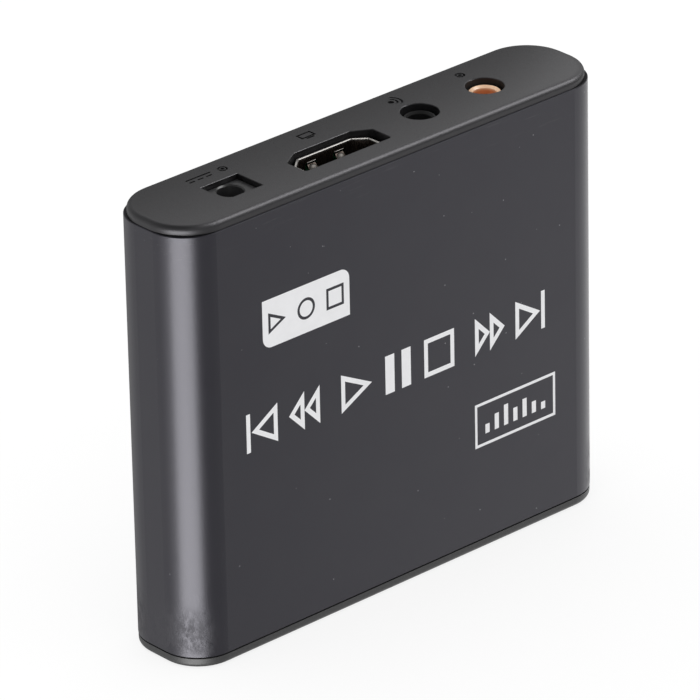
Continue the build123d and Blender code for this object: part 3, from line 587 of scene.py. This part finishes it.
def block(shape, place, centre, size, edge, slot):
    part = bmesh.new()
    bmesh.ops.create_cube(part, size=1, matrix=place @ shift(centre) @ Matrix.Diagonal((*size, 1)))
    bmesh.ops.bevel(part, geom=part.edges[:], offset=edge, segments=2, profile=0.5, affect="EDGES")
    addPart(shape, part, slot)


def lathe(shape, place, profile, slot, sides):
    part = bmesh.new()
    angles = [tau * k / sides for k in range(sides)]
    turns = [Vector((cos(a), sin(a), 0)) for a in angles]
    rings = []
    for radius, height in profile:
        rise = Vector((0, 0, height))
        used = turns if radius else turns[:1]
        rings.append([part.verts.new(place @ (turn * radius + rise)) for turn in used])
    skin(shape, part, rings, slot, capped=False)


def stack(shape, place, outline, layers, slot=0):
    # Rings of one outline, drawn in by each layer's inset, from the lowest layer up
    part = bmesh.new()
    rings = [[part.verts.new(place @ Vector((u, v, height))) for u, v in outline(inset)]
             for inset, height in layers]
    skin(shape, part, rings, slot)


def roundedOutline(width, length, radius, steps):
    def outline(inset):
        r = max(radius - inset, 0.01)
        loop = []
        for quarter in range(4):
            sideU, sideV = ((1, 1), (-1, 1), (-1, -1), (1, -1))[quarter]
            for k in range(steps + 1):
                angle = radians(90 * (quarter + k / steps))
                loop.append((sideU * (width / 2 - inset - r) + r * cos(angle),
                             sideV * (length / 2 - inset - r) + r * sin(angle)))
        return loop
    return outline


def strip(shape, place, path, width, thick, slot):
    # A flat strip bent along path, (along, height) points, and width across it
    part = bmesh.new()
    rings = []
    for k, spot in enumerate(path):
        before = Vector(spot) - Vector(path[max(k - 1, 0)])
        after = Vector(path[min(k + 1, len(path) - 1)]) - Vector(spot)
        way = (before.normalized() + after.normalized()).normalized()
        square = Vector((-way.y, way.x)) * thick / 2
        over, under = Vector(spot) + square, Vector(spot) - square
        corners = ((over, -0.5), (over, 0.5), (under, 0.5), (under, -0.5))
        rings.append([part.verts.new(place @ Vector((p.x, across * width, p.y))) for p, across in corners])
    skin(shape, part, rings, slot)


def track(shape, place, path, width, low, high, closed=False):
    # A flat line of even width laid along path, (u, v) points
    part = bmesh.new()
    spots = [Vector(spot) for spot in path]
    last = len(spots) - 1
    rings = []
    for k, spot in enumerate(spots):
        before = spot - spots[k - 1] if closed or k else spots[1] - spot
        after = spots[(k + 1) % len(spots)] - spot if closed or k < last else spot - spots[k - 1]
        before.normalize()
        after.normalize()
        way = (before + after).normalized()
        reach = width / 2 / max(way.dot(before), 0.3)
        square = Vector((-way.y, way.x)) * reach
        corners = ((spot + square, low), (spot + square, high), (spot - square, high), (spot - square, low))
        rings.append([part.verts.new(place @ Vector((p.x, p.y, height))) for p, height in corners])
    skin(shape, part, rings + rings[:1] if closed else rings, 0, not closed)


def tube(shape, points, radius, sides):
    part = bmesh.new()
    side = Vector((1, 0, 0))
    angles = [tau * n / sides for n in range(sides)]
    rings = []
    for k, point in enumerate(points):
        way = (points[min(k + 1, len(points) - 1)] - points[max(k - 1, 0)]).normalized()
        side = (side - way * side.dot(way)).normalized()
        other = way.cross(side)
        rings.append([part.verts.new(point + (side * cos(a) + other * sin(a)) * radius) for a in angles])
    skin(shape, part, rings, 0)


def makePiece(name, shape, finishNames, replaced=(), smooth=35, body="base"):
    bmesh.ops.scale(shape, vec=(mm, mm, mm), verts=shape.verts[:])
    mesh = bpy.data.meshes.new(name)
    shape.to_mesh(mesh)
    shape.free()
    for finish in finishNames:
        mesh.materials.append(bpy.data.materials[finish])
    mesh.polygons.foreach_set("use_smooth", [True] * len(mesh.polygons))
    mesh.set_sharp_from_angle(angle=radians(smooth))
    piece = bpy.data.objects.new(name, mesh)
    scene.collection.objects.link(piece)
    if body != "sleeve":
        benchParts.objects.link(piece)
    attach(piece, body)
    if replaced:
        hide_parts(*replaced)
    return piece


# White print on the front: a tag, a line of transport marks and a framed level meter, in millimetres
printLook = {
    "ink": (0.86, 0.86, 0.875),
    "thin": 0.93,
    "roughness": (0.45, 0.60),
    "face": -8.35,
    "film": 0.012,
    "sunk": 0.002,
    "tagX": (-26.9, -10.1),
    "tagZ": (47.65, 55.3),
    "tagCorner": 1.7,
    "tagMark": 3.4,
    "tagStroke": 0.45,
    "lineX": (-30.5, 28.7),
    "lineZ": (32.3, 38.5),
    "lineStroke": 0.75,
    "lineGaps": (2.2, 4.2),
    "frameX": (14.3, 30.7),
    "frameZ": (17.1, 24.3),
    "frameStroke": 0.45,
    "bars": (1.5, 2.6, 3.4, 2.2, 3.0, 1.9, 1.2),
    "barWidth": 0.85,
    "barGap": 1.05,
}


def whiteInk(look):
    shader = newMaterial("whiteInk")
    place = millimetres(shader)
    grain = noise(place, 6.0, 3.0, 0.6)
    thin = [look["thin"] * c for c in look["ink"]]
    tone = mixColour(noise(place, 0.8, 2.0), look["ink"], thin)
    coat(shader, tone, laidOver(grain, *look["roughness"]), bump(grain, 0.004))


def drawnIn(loop, inset):
    # A convex loop, anticlockwise, moved inwards by inset
    moved = []
    for k, spot in enumerate(loop):
        before = (Vector(spot) - Vector(loop[k - 1])).normalized()
        after = (Vector(loop[(k + 1) % len(loop)]) - Vector(spot)).normalized()
        normals = [Vector((-way.y, way.x)) for way in (before, after)]
        middle = (normals[0] + normals[1]).normalized()
        moved.append(tuple(Vector(spot) + middle * inset / middle.dot(normals[0])))
    return moved


def oblong(x0, x1, z0, z1):
    return [(x0, z0), (x1, z0), (x1, z1), (x0, z1)]


def circleLoop(x, z, radius, steps=40):
    angles = [tau * k / steps for k in range(steps)]
    return [(x + radius * cos(a), z + radius * sin(a)) for a in angles]


def outlined(loop, stroke):
    return [loop, drawnIn(loop, stroke)]


def arrowLoop(x0, x1, z0, z1, forward):
    middle = (z0 + z1) / 2
    return [(x0, z0), (x1, middle), (x0, z1)] if forward else [(x1, z1), (x0, middle), (x1, z0)]


def transportMark(kind, x, size, z0, z1, stroke):
    half = x + size / 2
    right = x + size
    if kind == "play":
        return outlined(arrowLoop(x, right, z0, z1, True), stroke)
    if kind == "pause":
        side, bar = size * 0.08, size * 0.3
        return [oblong(x + side, x + side + bar, z0, z1), oblong(right - side - bar, right - side, z0, z1)]
    if kind == "stop":
        return outlined(oblong(x, right, z0, z1), stroke)
    forward = kind in ("forward", "next")
    if kind in ("forward", "rewind"):
        pair = ((x, half), (half, right))
        return [loop for ends in pair for loop in outlined(arrowLoop(*ends, z0, z1, forward), stroke)]
    edge, gap = right - stroke if forward else x, stroke * 1.3
    arrow = (x, right - gap) if forward else (x + gap, right)
    return outlined(arrowLoop(*arrow, z0, z1, forward), stroke) + [oblong(edge, edge + stroke, z0, z1)]


def tagLoops(look):
    (x0, x1), (z0, z1), r = look["tagX"], look["tagZ"], look["tagCorner"]
    quarter = [radians(9 * k) for k in range(11)]
    outer = [(x0, z1)] + [(x0 + r - r * cos(a), z0 + r - r * sin(a)) for a in quarter]
    outer += [(x1, z0)] + [(x1 - r + r * cos(a), z1 - r + r * sin(a)) for a in quarter]
    middle, size, stroke = (z0 + z1) / 2, look["tagMark"], look["tagStroke"]
    low, high = middle - size / 2, middle + size / 2
    step = (x1 - x0) / 3
    spots = [x0 + step * (k + 0.5) for k in range(3)]
    loops = [outer]
    loops += outlined(arrowLoop(spots[0] - size / 2, spots[0] + size / 2, low, high, True), stroke)
    loops += outlined(circleLoop(spots[1], middle, size / 2), stroke)
    loops += outlined(oblong(spots[2] - size / 2, spots[2] + size / 2, low, high), stroke)
    return loops


def transportLoops(look):
    groups = (("previous", "rewind"), ("play", "pause", "stop"), ("forward", "next"))
    near, far = look["lineGaps"]
    x, end = look["lineX"]
    size = (end - x - 4 * near - 2 * far) / 7
    loops = []
    for group in groups:
        for kind in group:
            loops += transportMark(kind, x, size, *look["lineZ"], look["lineStroke"])
            x += size + near
        x += far - near
    return loops


def meterLoops(look):
    (x0, x1), (z0, z1) = look["frameX"], look["frameZ"]
    loops = outlined(oblong(x0, x1, z0, z1), look["frameStroke"])
    count = len(look["bars"])
    x = (x0 + x1) / 2 - (count * look["barWidth"] + (count - 1) * look["barGap"]) / 2
    foot = (z0 + z1) / 2 - max(look["bars"]) / 2
    for height in look["bars"]:
        loops.append(oblong(x, x + look["barWidth"], foot, foot + height))
        x += look["barWidth"] + look["barGap"]
    return loops


def layPrint(name, loops, look):
    curve = bpy.data.curves.new(name, "CURVE")
    curve.dimensions = "2D"
    curve.fill_mode = "BOTH"
    curve.extrude = look["film"] / 2
    for loop in loops:
        spline = curve.splines.new("POLY")
        spline.points.add(len(loop) - 1)
        for point, (x, z) in zip(spline.points, loop):
            point.co = (x, z, 0, 1)
        spline.use_cyclic_u = True
    flat = bpy.data.objects.new(name + "Outline", curve)
    mesh = bpy.data.meshes.new_from_object(flat)
    bpy.data.objects.remove(flat)
    bpy.data.curves.remove(curve)
    middle = look["face"] - look["film"] / 2 + look["sunk"]
    mesh.transform(shift((0, middle, 0)) @ Matrix.Rotation(pi / 2, 4, "X"))
    shape = bmesh.new()
    shape.from_mesh(mesh)
    bpy.data.meshes.remove(mesh)
    bmesh.ops.remove_doubles(shape, verts=shape.verts[:], dist=0.001)
    makePiece(name, shape, ["whiteInk"], body="sleeve")


whiteInk(printLook)
layPrint("frontTag", tagLoops(printLook), printLook)
layPrint("transportMarks", transportLoops(printLook), printLook)
layPrint("levelMeter", meterLoops(printLook), printLook)
print("print laid")

# Spring fingers of the video socket: a domed tip on each blade and the bright cut edge of its window
tipLook = {"x": (-8.75, -3.35), "walls": ((1, 0.425, 0.80), (-1, -3.325, -3.70)), "z": 67.7,
           "lean": (0.8, 0.6), "size": (1.42, 1.2, 0.6),
           "dome": ((0, -0.02), (0.05, 0.08), (0.20, 0.15), (0.42, 0.19)),
           "edge": (1.7, 0.14, 0.14), "edgeZ": 68.55, "edgeBevel": 0.06}


def springTips(look):
    shape = bmesh.new()
    rise, tilt = look["lean"]
    for side, y, wall in look["walls"]:
        for x in look["x"]:
            blade = Matrix(((side, 0, 0, x), (0, tilt * side, -rise * side, y),
                            (0, rise, tilt, look["z"]), (0, 0, 0, 1)))
            stack(shape, blade, roundedOutline(*look["size"], 8), look["dome"])
            block(shape, shift((x, wall, look["edgeZ"])), (0, 0, 0), look["edge"], look["edgeBevel"], 1)
    # The domed tips wear the darker steel, painted shade deep in the socket
    finishNames = ("fingerSteel", "shellSteel")
    tips = makePiece("springTips", shape, finishNames, smooth=60)
    bpy.data.collections["rimBoxLights"].objects.link(tips)


springTips(tipLook)
print("socket fingers made")

# The board's front, where its parts stand: u runs along X, v along Z and height towards the front
boardLook = {"front": 1.9, "back": 3.5}


def onBoard(x, z, turn=0):
    upright = Matrix(((1, 0, 0, 0), (0, 0, -1, 0), (0, 1, 0, 0), (0, 0, 0, 1)))
    return shift((x, boardLook["front"], z)) @ upright @ Matrix.Rotation(radians(turn), 4, "Z")


def behindBoard(x, z):
    return shift((x, boardLook["back"], z)) @ Matrix.Rotation(-pi / 2, 4, "X")


# Leaded chips: body size along X and Z, height, leads on two sides
chipLooks = {
    "memoryChip": {"node": "memory_chip", "at": (-9.5, 38.35), "body": (22.2, 10.2), "height": 1.0,
                   "lift": 0.10, "leads": 27, "pitch": 0.80, "leadWidth": 0.32, "reach": 0.75,
                   "sides": (90, 270), "dot": 0.55},
    "flashChip": {"node": "flash_chip", "at": (4.675, 62.15), "body": (3.9, 5.0), "height": 1.7,
                  "lift": 0.15, "leads": 4, "pitch": 1.27, "leadWidth": 0.42, "reach": 0.70,
                  "sides": (0, 180), "dot": 0.35},
}


def gullLead(shape, place, start, reach, height, width, thick=0.12):
    path = [(start - 0.05, height), (start + reach * 0.25, height), (start + reach * 0.38, height * 0.86),
            (start + reach * 0.50, 0.16), (start + reach * 0.60, 0.07), (start + reach, 0.06)]
    strip(shape, place, path, width, thick, 1)


def leadedChip(name, look):
    shape = bmesh.new()
    place = onBoard(*look["at"])
    (width, length), top, dot = look["body"], look["height"], look["dot"]
    waist = (top + look["lift"]) / 2
    stack(shape, place, roundedOutline(width, length, 0.12, 2),
          [(0.12, look["lift"]), (0.0, waist - 0.06), (0.0, waist + 0.06), (0.14, top)])
    for side in look["sides"]:
        start = (length if side in (90, 270) else width) / 2
        for k in range(look["leads"]):
            across = (k - (look["leads"] - 1) / 2) * look["pitch"]
            turned = onBoard(*look["at"], side) @ shift((0, across, 0))
            gullLead(shape, turned, start, look["reach"], waist, look["leadWidth"])
    corner = place @ shift((-width / 2 + 3 * dot, -length / 2 + 3 * dot, top))
    lathe(shape, corner, [(0, -0.02), (dot, -0.02), (dot, 0.004), (dot * 0.9, 0.006), (0, 0.006)], 2, 24)
    makePiece(name, shape, ("chipEpoxy", "tinLead", "resistorBlack"), [look["node"]])


for name, look in chipLooks.items():
    leadedChip(name, look)

# Regulators: a moulded body with three leads below and a wide tab above
regulatorLook = {"places": ((11.3, 51.65), (19.0, 51.65)), "body": (6.5, 3.5), "height": 1.6,
                 "leadHeight": 0.8, "leads": (-2.3, 0, 2.3), "leadWidth": 0.72, "tabWidth": 3.0,
                 "reach": 1.5}


def regulators(look):
    shape = bmesh.new()
    (width, length), waist = look["body"], look["leadHeight"]
    for spot in look["places"]:
        stack(shape, onBoard(*spot), roundedOutline(width, length, 0.15, 2),
              [(0.14, 0.06), (0.0, 0.75), (0.0, 0.85), (0.30, look["height"])])
        for across in look["leads"]:
            below = onBoard(*spot, 270) @ shift((0, across, 0))
            gullLead(shape, below, length / 2, look["reach"], waist, look["leadWidth"])
        gullLead(shape, onBoard(*spot, 90), length / 2, look["reach"], waist, look["tabWidth"])
    makePiece("regulatorChips", shape, ("chipEpoxy", "tinLead"), ["regulator_chips"])


regulators(regulatorLook)

# Processor: a moulded cap on a thin laminate, under the heat pad and sink
processorLook = {"at": (12.5, 27.7), "size": 14.0, "height": 1.2, "laminate": 0.45, "step": 0.7,
                 "balls": 13, "ballInset": 0.5, "ballHeight": 0.07,
                 "ball": ((0, -0.07), (0.19, -0.05), (0.22, 0.0), (0.19, 0.05), (0, 0.06))}


def processor(look):
    shape = bmesh.new()
    place = onBoard(*look["at"])
    size, laminate, step, inset = (look[key] for key in ("size", "laminate", "step", "ballInset"))
    stack(shape, place, roundedOutline(size, size, 0.1, 2), [(0.02, 0.12), (0, 0.16), (0, laminate)], 1)
    stack(shape, place, roundedOutline(size, size, 0.3, 3),
          [(step, laminate - 0.02), (step + 0.15, look["height"])], 0)
    pitch = (size - 2 * inset) / (look["balls"] - 1)
    for k in range(look["balls"]):
        for turn in (0, 90, 180, 270):
            across = k * pitch - size / 2 + inset
            ball = onBoard(*look["at"], turn) @ shift((size / 2 - inset, across, look["ballHeight"]))
            lathe(shape, ball, look["ball"], 2, 10)
    finishNames = ("chipEpoxy", "substrate", "tinLead")
    makePiece("processorChip", shape, finishNames, ["processor_chip"])


processor(processorLook)

# Electrolytic capacitors: a rolled can on a moulded foot, with a dark band on one side of its top
capacitorLook = {"places": ((-25.3, 54.7), (-25.3, 48.1), (26.15, 50.7), (26.15, 44.1)), "can": 2.5,
                 "height": 5.4, "foot": 5.4, "footHeight": 1.2, "footCut": 1.1, "bandInset": 0.75,
                 "chord": 0.42, "tab": (0.9, 0.8, 0.16)}


def capacitors(look):
    shape = bmesh.new()
    can, top, cut, low = (look[key] for key in ("can", "height", "footCut", "footHeight"))
    half = look["foot"] / 2
    profile = [(0, 0.5), (can - 0.35, 0.5), (can - 0.25, 0.9), (can - 0.22, 1.45), (can - 0.10, 1.62),
               (can, 1.75), (can, top - 0.42), (can - 0.05, top - 0.22), (can - 0.18, top - 0.07),
               (can - 0.40, top - 0.02), (can - 0.62, top - 0.06), (can - 0.72, top - 0.10),
               (0, top - 0.10)]
    foot = [(-half, -half), (half, -half), (half, half - cut), (half - cut, half), (-half + cut, half),
            (-half, half - cut)]
    rim = can - look["bandInset"]
    reach = acos(can * look["chord"] / rim)
    angles = [reach * (k / 8 - 1) for k in range(17)]
    arc = [(rim * cos(a), rim * sin(a)) for a in angles]
    for spot in look["places"]:
        place = onBoard(*spot)
        stack(shape, place, lambda inset: drawnIn(foot, inset + 0.001),
              [(0.08, 0.05), (0, 0.15), (0, low - 0.2), (0.12, low)], 1)
        lathe(shape, place, profile, 0, 48)
        stack(shape, place, lambda inset: arc, [(0, top - 0.11), (0, top - 0.085)], 2)
        for turn in (90, 270):
            block(shape, onBoard(*spot, turn), (half - 0.15, 0, 0.10), look["tab"], 0.04, 3)
    finishNames = ("canMetal", "blackPlastic", "bandBlack", "tinLead")
    makePiece("electrolyticCapacitors", shape, finishNames, ["electrolytic_capacitors"])


capacitors(capacitorLook)

# Power inductors: a ferrite drum with a copper winding in a square ferrite sleeve
inductorLook = {"places": ((-17.675, 62.7), (23.2, 13.7)), "size": 5.8, "height": 2.8, "drum": 2.15,
                "ring": 2.45, "tab": (0.7, 2.2, 0.16)}


def inductors(look):
    shape = bmesh.new()
    size, top, drum, ring = (look[key] for key in ("size", "height", "drum", "ring"))
    for spot in look["places"]:
        place = onBoard(*spot)
        stack(shape, place, roundedOutline(size, size, 1.1, 5),
              [(0.10, 0.06), (0, 0.20), (0, top - 0.45), (0.12, top - 0.30)], 0)
        lathe(shape, place, [(ring, top - 0.35), (ring + 0.05, top - 0.22), (ring + 0.22, top - 0.20),
                             (ring + 0.26, top - 0.35)], 0, 40)
        lathe(shape, place, [(0, 0.4), (drum, 0.4), (drum, top - 0.08), (drum - 0.08, top),
                             (0, top)], 0, 40)
        lathe(shape, place, [(drum + 0.02, top - 0.33), (drum + 0.06, top - 0.18),
                             (ring - 0.06, top - 0.18), (ring, top - 0.33)], 1, 40)
        for turn in (0, 180):
            block(shape, onBoard(*spot, turn), (size / 2 - 0.30, 0, 0.10), look["tab"], 0.05, 2)
    finishNames = ("ferrite", "windingCopper", "tinLead")
    makePiece("powerInductors", shape, finishNames, ["power_inductors"])


inductors(inductorLook)

# Crystal: a drawn can on an oval flange
crystalLook = {"at": (24.4, 23.4), "size": (4.6, 11.2), "height": 3.5, "flange": 0.45}


def crystal(look):
    shape = bmesh.new()
    width, length = look["size"]
    flange, top = look["flange"], look["height"]
    stack(shape, onBoard(*look["at"]), roundedOutline(width, length, width / 2 - 0.01, 12),
          [(0.10, 0.02), (0, 0.10), (0, flange - 0.1), (0.08, flange), (0.36, flange + 0.04),
           (0.46, flange + 0.20), (0.48, top - 0.45), (0.58, top - 0.18), (0.82, top - 0.03), (1.0, top)])
    makePiece("crystalCan", shape, ["canMetal"], ["crystal_can"])


crystal(crystalLook)

# Small chip parts: a ceramic or film body between tinned ends. A row is its start, step, count and kind,
# and in a row of films every third part is a ceramic
chipPartLook = {
    "size": (2.0, 1.2, 0.9),
    "filmHeight": 0.55,
    "cap": 0.42,
    "rows": (((3.4, 17.9), (3.2, 0), 5, 0), ((6.1, 36.9), (3.2, 0), 5, 1), ((28.9, 16.9), (0, 2.6), 5, 0)),
}


def chipParts(look):
    shape = bmesh.new()
    length, width, height = look["size"]
    cap = look["cap"]
    for start, step, count, kind in look["rows"]:
        for k in range(count):
            place = onBoard(start[0] + step[0] * k, start[1] + step[1] * k)
            film = kind if k % 3 else 0
            rise = look["filmHeight"] if film else height
            block(shape, place, (0, 0, rise / 2), (length - 0.5, width - 0.04, rise - 0.04), 0.06, film)
            for side in (-1, 1):
                block(shape, place, (side * (length - cap) / 2, 0, rise / 2), (cap, width, rise), 0.09, 2)
    finishNames = ("ceramicTan", "resistorBlack", "tinLead")
    makePiece("chipParts", shape, finishNames, ["chip_parts"])


chipParts(chipPartLook)

# Card spring: a closed-end coil at one length; on the real thing it shortens as the slider goes in
springLook = {"at": (-3.0, 0.325), "low": 19.65, "high": 28.95, "wire": 0.25, "across": 1.6, "turns": 8,
              "left": 6.0, "endPitch": 1.04, "steps": 24, "sides": 10}


def cardSpring(look):
    shape = bmesh.new()
    x, y = look["at"]
    radius = (look["across"] - look["wire"]) / 2
    half = look["wire"] / 2
    low, high = look["low"] + half, look["high"] - half
    closed = look["wire"] * look["endPitch"]  # the end turns lie side by side
    points = []
    total = look["turns"] + 2
    for k in range(total * look["steps"] + 1):
        turn = k / look["steps"]
        if turn < 1:
            z = low + closed * turn
        elif turn > total - 1:
            z = high - closed * (total - turn)
        else:
            z = low + closed + (high - low - 2 * closed) * (turn - 1) / look["turns"]
        angle = tau * turn
        points.append(Vector((x + radius * cos(angle), y + radius * sin(angle), z)))
    tube(shape, points, half, look["sides"])
    piece = makePiece("cardSpring", shape, ["springSteel"], ["card_spring"], 80)
    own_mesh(piece)


cardSpring(springLook)
print("board parts made")

# The board's own dress: tracks under the green lacquer, plated holes, white outlines and solder behind the
# tabs, at X and Z. A bus is its start, step, count, turns, width, the ends of a track that have a hole, and
# how far those are staggered
dressLook = {
    "rise": 0.03,
    "sink": -0.01,
    "outlineRise": 0.04,
    "frontBuses": (
        ((-9.05, 56.3), (1.0, 0), 9, ((0, -0.9), (17, -17)), 0.26, 1, 0),
        ((-19.9, 44.5), (0.8, 0), 24, ((0, 1.0),), 0.24, 1, 0.75),
        ((30.6, 61.0), (1.1, 0), 4, ((0, -24), (-1.4, -1.4)), 0.30, 2, 0),
        ((-33.5, 38.0), (0, 2.54), 6, ((1.2, 0), (1.6, -1.6), (1.0, 0)), 0.28, 1, 0),
        ((-28.0, 58.6), (0, 0), 1, ((-3.0, -3.0), (0, -2.6)), 1.3, 1, 0),
        ((33.5, 8.0), (1.1, 0), 3, ((0, 18.0), (-1.6, 1.6)), 0.30, 2, 0),
    ),
    "backBuses": (
        ((-24, 10), (1.0, 0), 8, ((0, 18), (14, 14), (0, 13)), 0.28, 2, 0),
        ((1.5, 8), (-1.0, 0), 6, ((0, 14), (6, 6), (0, 20)), 0.28, 2, 0),
        ((34, 12), (-1.0, 0), 5, ((0, 16), (-8, 8), (0, 17)), 0.28, 2, 0),
        ((-29.7, 36.4), (0, 2.54), 6, ((1.5, 0), (2, -2), (1.5, 0)), 0.32, 2, 0),
        ((-34, 26), (0, -1.6), 3, ((4, 0), (3, -3), (1, 0)), 0.7, 2, 0),
    ),
    "hole": (0.16, 0.31),
    "pinHole": (0.48, 0.85),
    "holeHeights": (0.012, 0.036, 0.045),
    "edgeHoles": {"x": 36.8, "from": 7.0, "step": 6.0, "count": 10},
    "header": {"at": (-33.5, 38.0), "step": 2.54, "count": 6},
    "outlineStroke": 0.15,
    "frames": ((-9.5, 38.35, 25.0, 13.2), (4.675, 62.15, 6.4, 6.6), (11.3, 51.65, 7.1, 7.3),
               (19.0, 51.65, 7.1, 7.3), (-17.675, 62.7, 6.8, 6.8), (23.2, 13.7, 6.8, 6.8),
               (24.4, 23.4, 5.6, 12.0), (12.5, 27.7, 17.0, 17.0), (-33.5, 44.35, 2.9, 15.6)),
    "roundCapacitor": 3.2,
    "joints": [(-25.3, 59.4, 1.2, 0.3), (-27.7, 62.0, 0.3, 1.2), (-22.9, 62.0, 0.3, 1.2)]
              + [(x, z, 0.3, 1.2) for x in (8.7, 13.9, 21.7, 26.9) for z in (56.6, 65.2)]
              + [(-6.05 + side * 7.175, z, 0.35, 2.2) for side in (-1, 1) for z in (60.3, 65.3)]
              + [(9.8 + side * 6.4, z, 0.3, 2.2) for side in (-1, 1) for z in (6.7, 12.0)]
              + [(22.0 + side * 2.2, 9.15, 0.45, 0.45) for side in (-1, 0, 1)],
    "jointCollar": 0.55,
    "jointRise": 0.55,
}


def busPaths(start, step, count, turns, stagger):
    for k in range(count):
        ways = [Vector(turn) for turn in turns]
        ways[-1] += ways[-1].normalized() * stagger * (k % 3)
        path = [Vector(start) + Vector(step) * k]
        for way in ways:
            path.append(path[-1] + way)
        yield path


def platedHole(shape, place, hole, rim, heights):
    # A tinned ring round a dark disc of painted shade in place of the hole, which covers the end of the
    # track
    bed, shadeDisc, top = heights
    lathe(shape, place, [(0, bed), (hole, bed), (hole + 0.02, top), (rim - 0.03, top), (rim, -0.01),
                         (0, -0.01)], 0, 14)
    lathe(shape, place, [(0, -0.005), (hole - 0.01, -0.005), (hole - 0.01, shadeDisc), (0, shadeDisc)], 1, 14)


def dressBoard(look):
    tracks, holes, outlines, solder = (bmesh.new() for _ in range(4))
    sink, edge, header = look["sink"], look["edgeHoles"], look["header"]
    spots = []
    for side, place, flip in (("front", onBoard, 1), ("back", behindBoard, -1)):
        for start, step, count, turns, width, ends, stagger in look[side + "Buses"]:
            for path in busPaths(start, step, count, turns, stagger):
                line = [(x, z * flip) for x, z in path]
                track(tracks, place(0, 0), line, width, sink, look["rise"])
                spots += [(place, spot) for spot in (path[-1], path[0])[:ends]]
        for k in range(edge["count"]):
            spots += [(place, (x, edge["from"] + k * edge["step"])) for x in (-edge["x"], edge["x"])]
        for k in range(header["count"]):
            pin = place(header["at"][0], header["at"][1] + k * header["step"])
            platedHole(holes, pin, *look["pinHole"], look["holeHeights"])
    for place, spot in spots:
        platedHole(holes, place(*spot), *look["hole"], look["holeHeights"])
    loops = [oblong(x - w / 2, x + w / 2, z - h / 2, z + h / 2) for x, z, w, h in look["frames"]]
    loops += [circleLoop(*spot, look["roundCapacitor"], 36) for spot in capacitorLook["places"]]
    for loop in loops:
        track(outlines, onBoard(0, 0), loop, look["outlineStroke"], sink, look["outlineRise"], closed=True)
    collar, rise = look["jointCollar"], look["jointRise"]
    layers = [(0, sink), (0.02, 0.06), (0.16, 0.16), (0.32, rise * 0.6), (collar - 0.10, rise),
              (collar, rise + 0.06)]
    for x, z, width, length in look["joints"]:
        outline = roundedOutline(width + 2 * collar, length + 2 * collar, collar, 5)
        stack(solder, behindBoard(x, z), outline, layers)
    makePiece("boardTracks", tracks, ["maskedCopper"])
    makePiece("platedHoles", holes, ("tinLead", "resistorBlack"))
    makePiece("boardOutlines", outlines, ["boardWhite"])
    makePiece("solderJoints", solder, ["tinLead"], smooth=60)


dressBoard(dressLook)
print("board dressed")
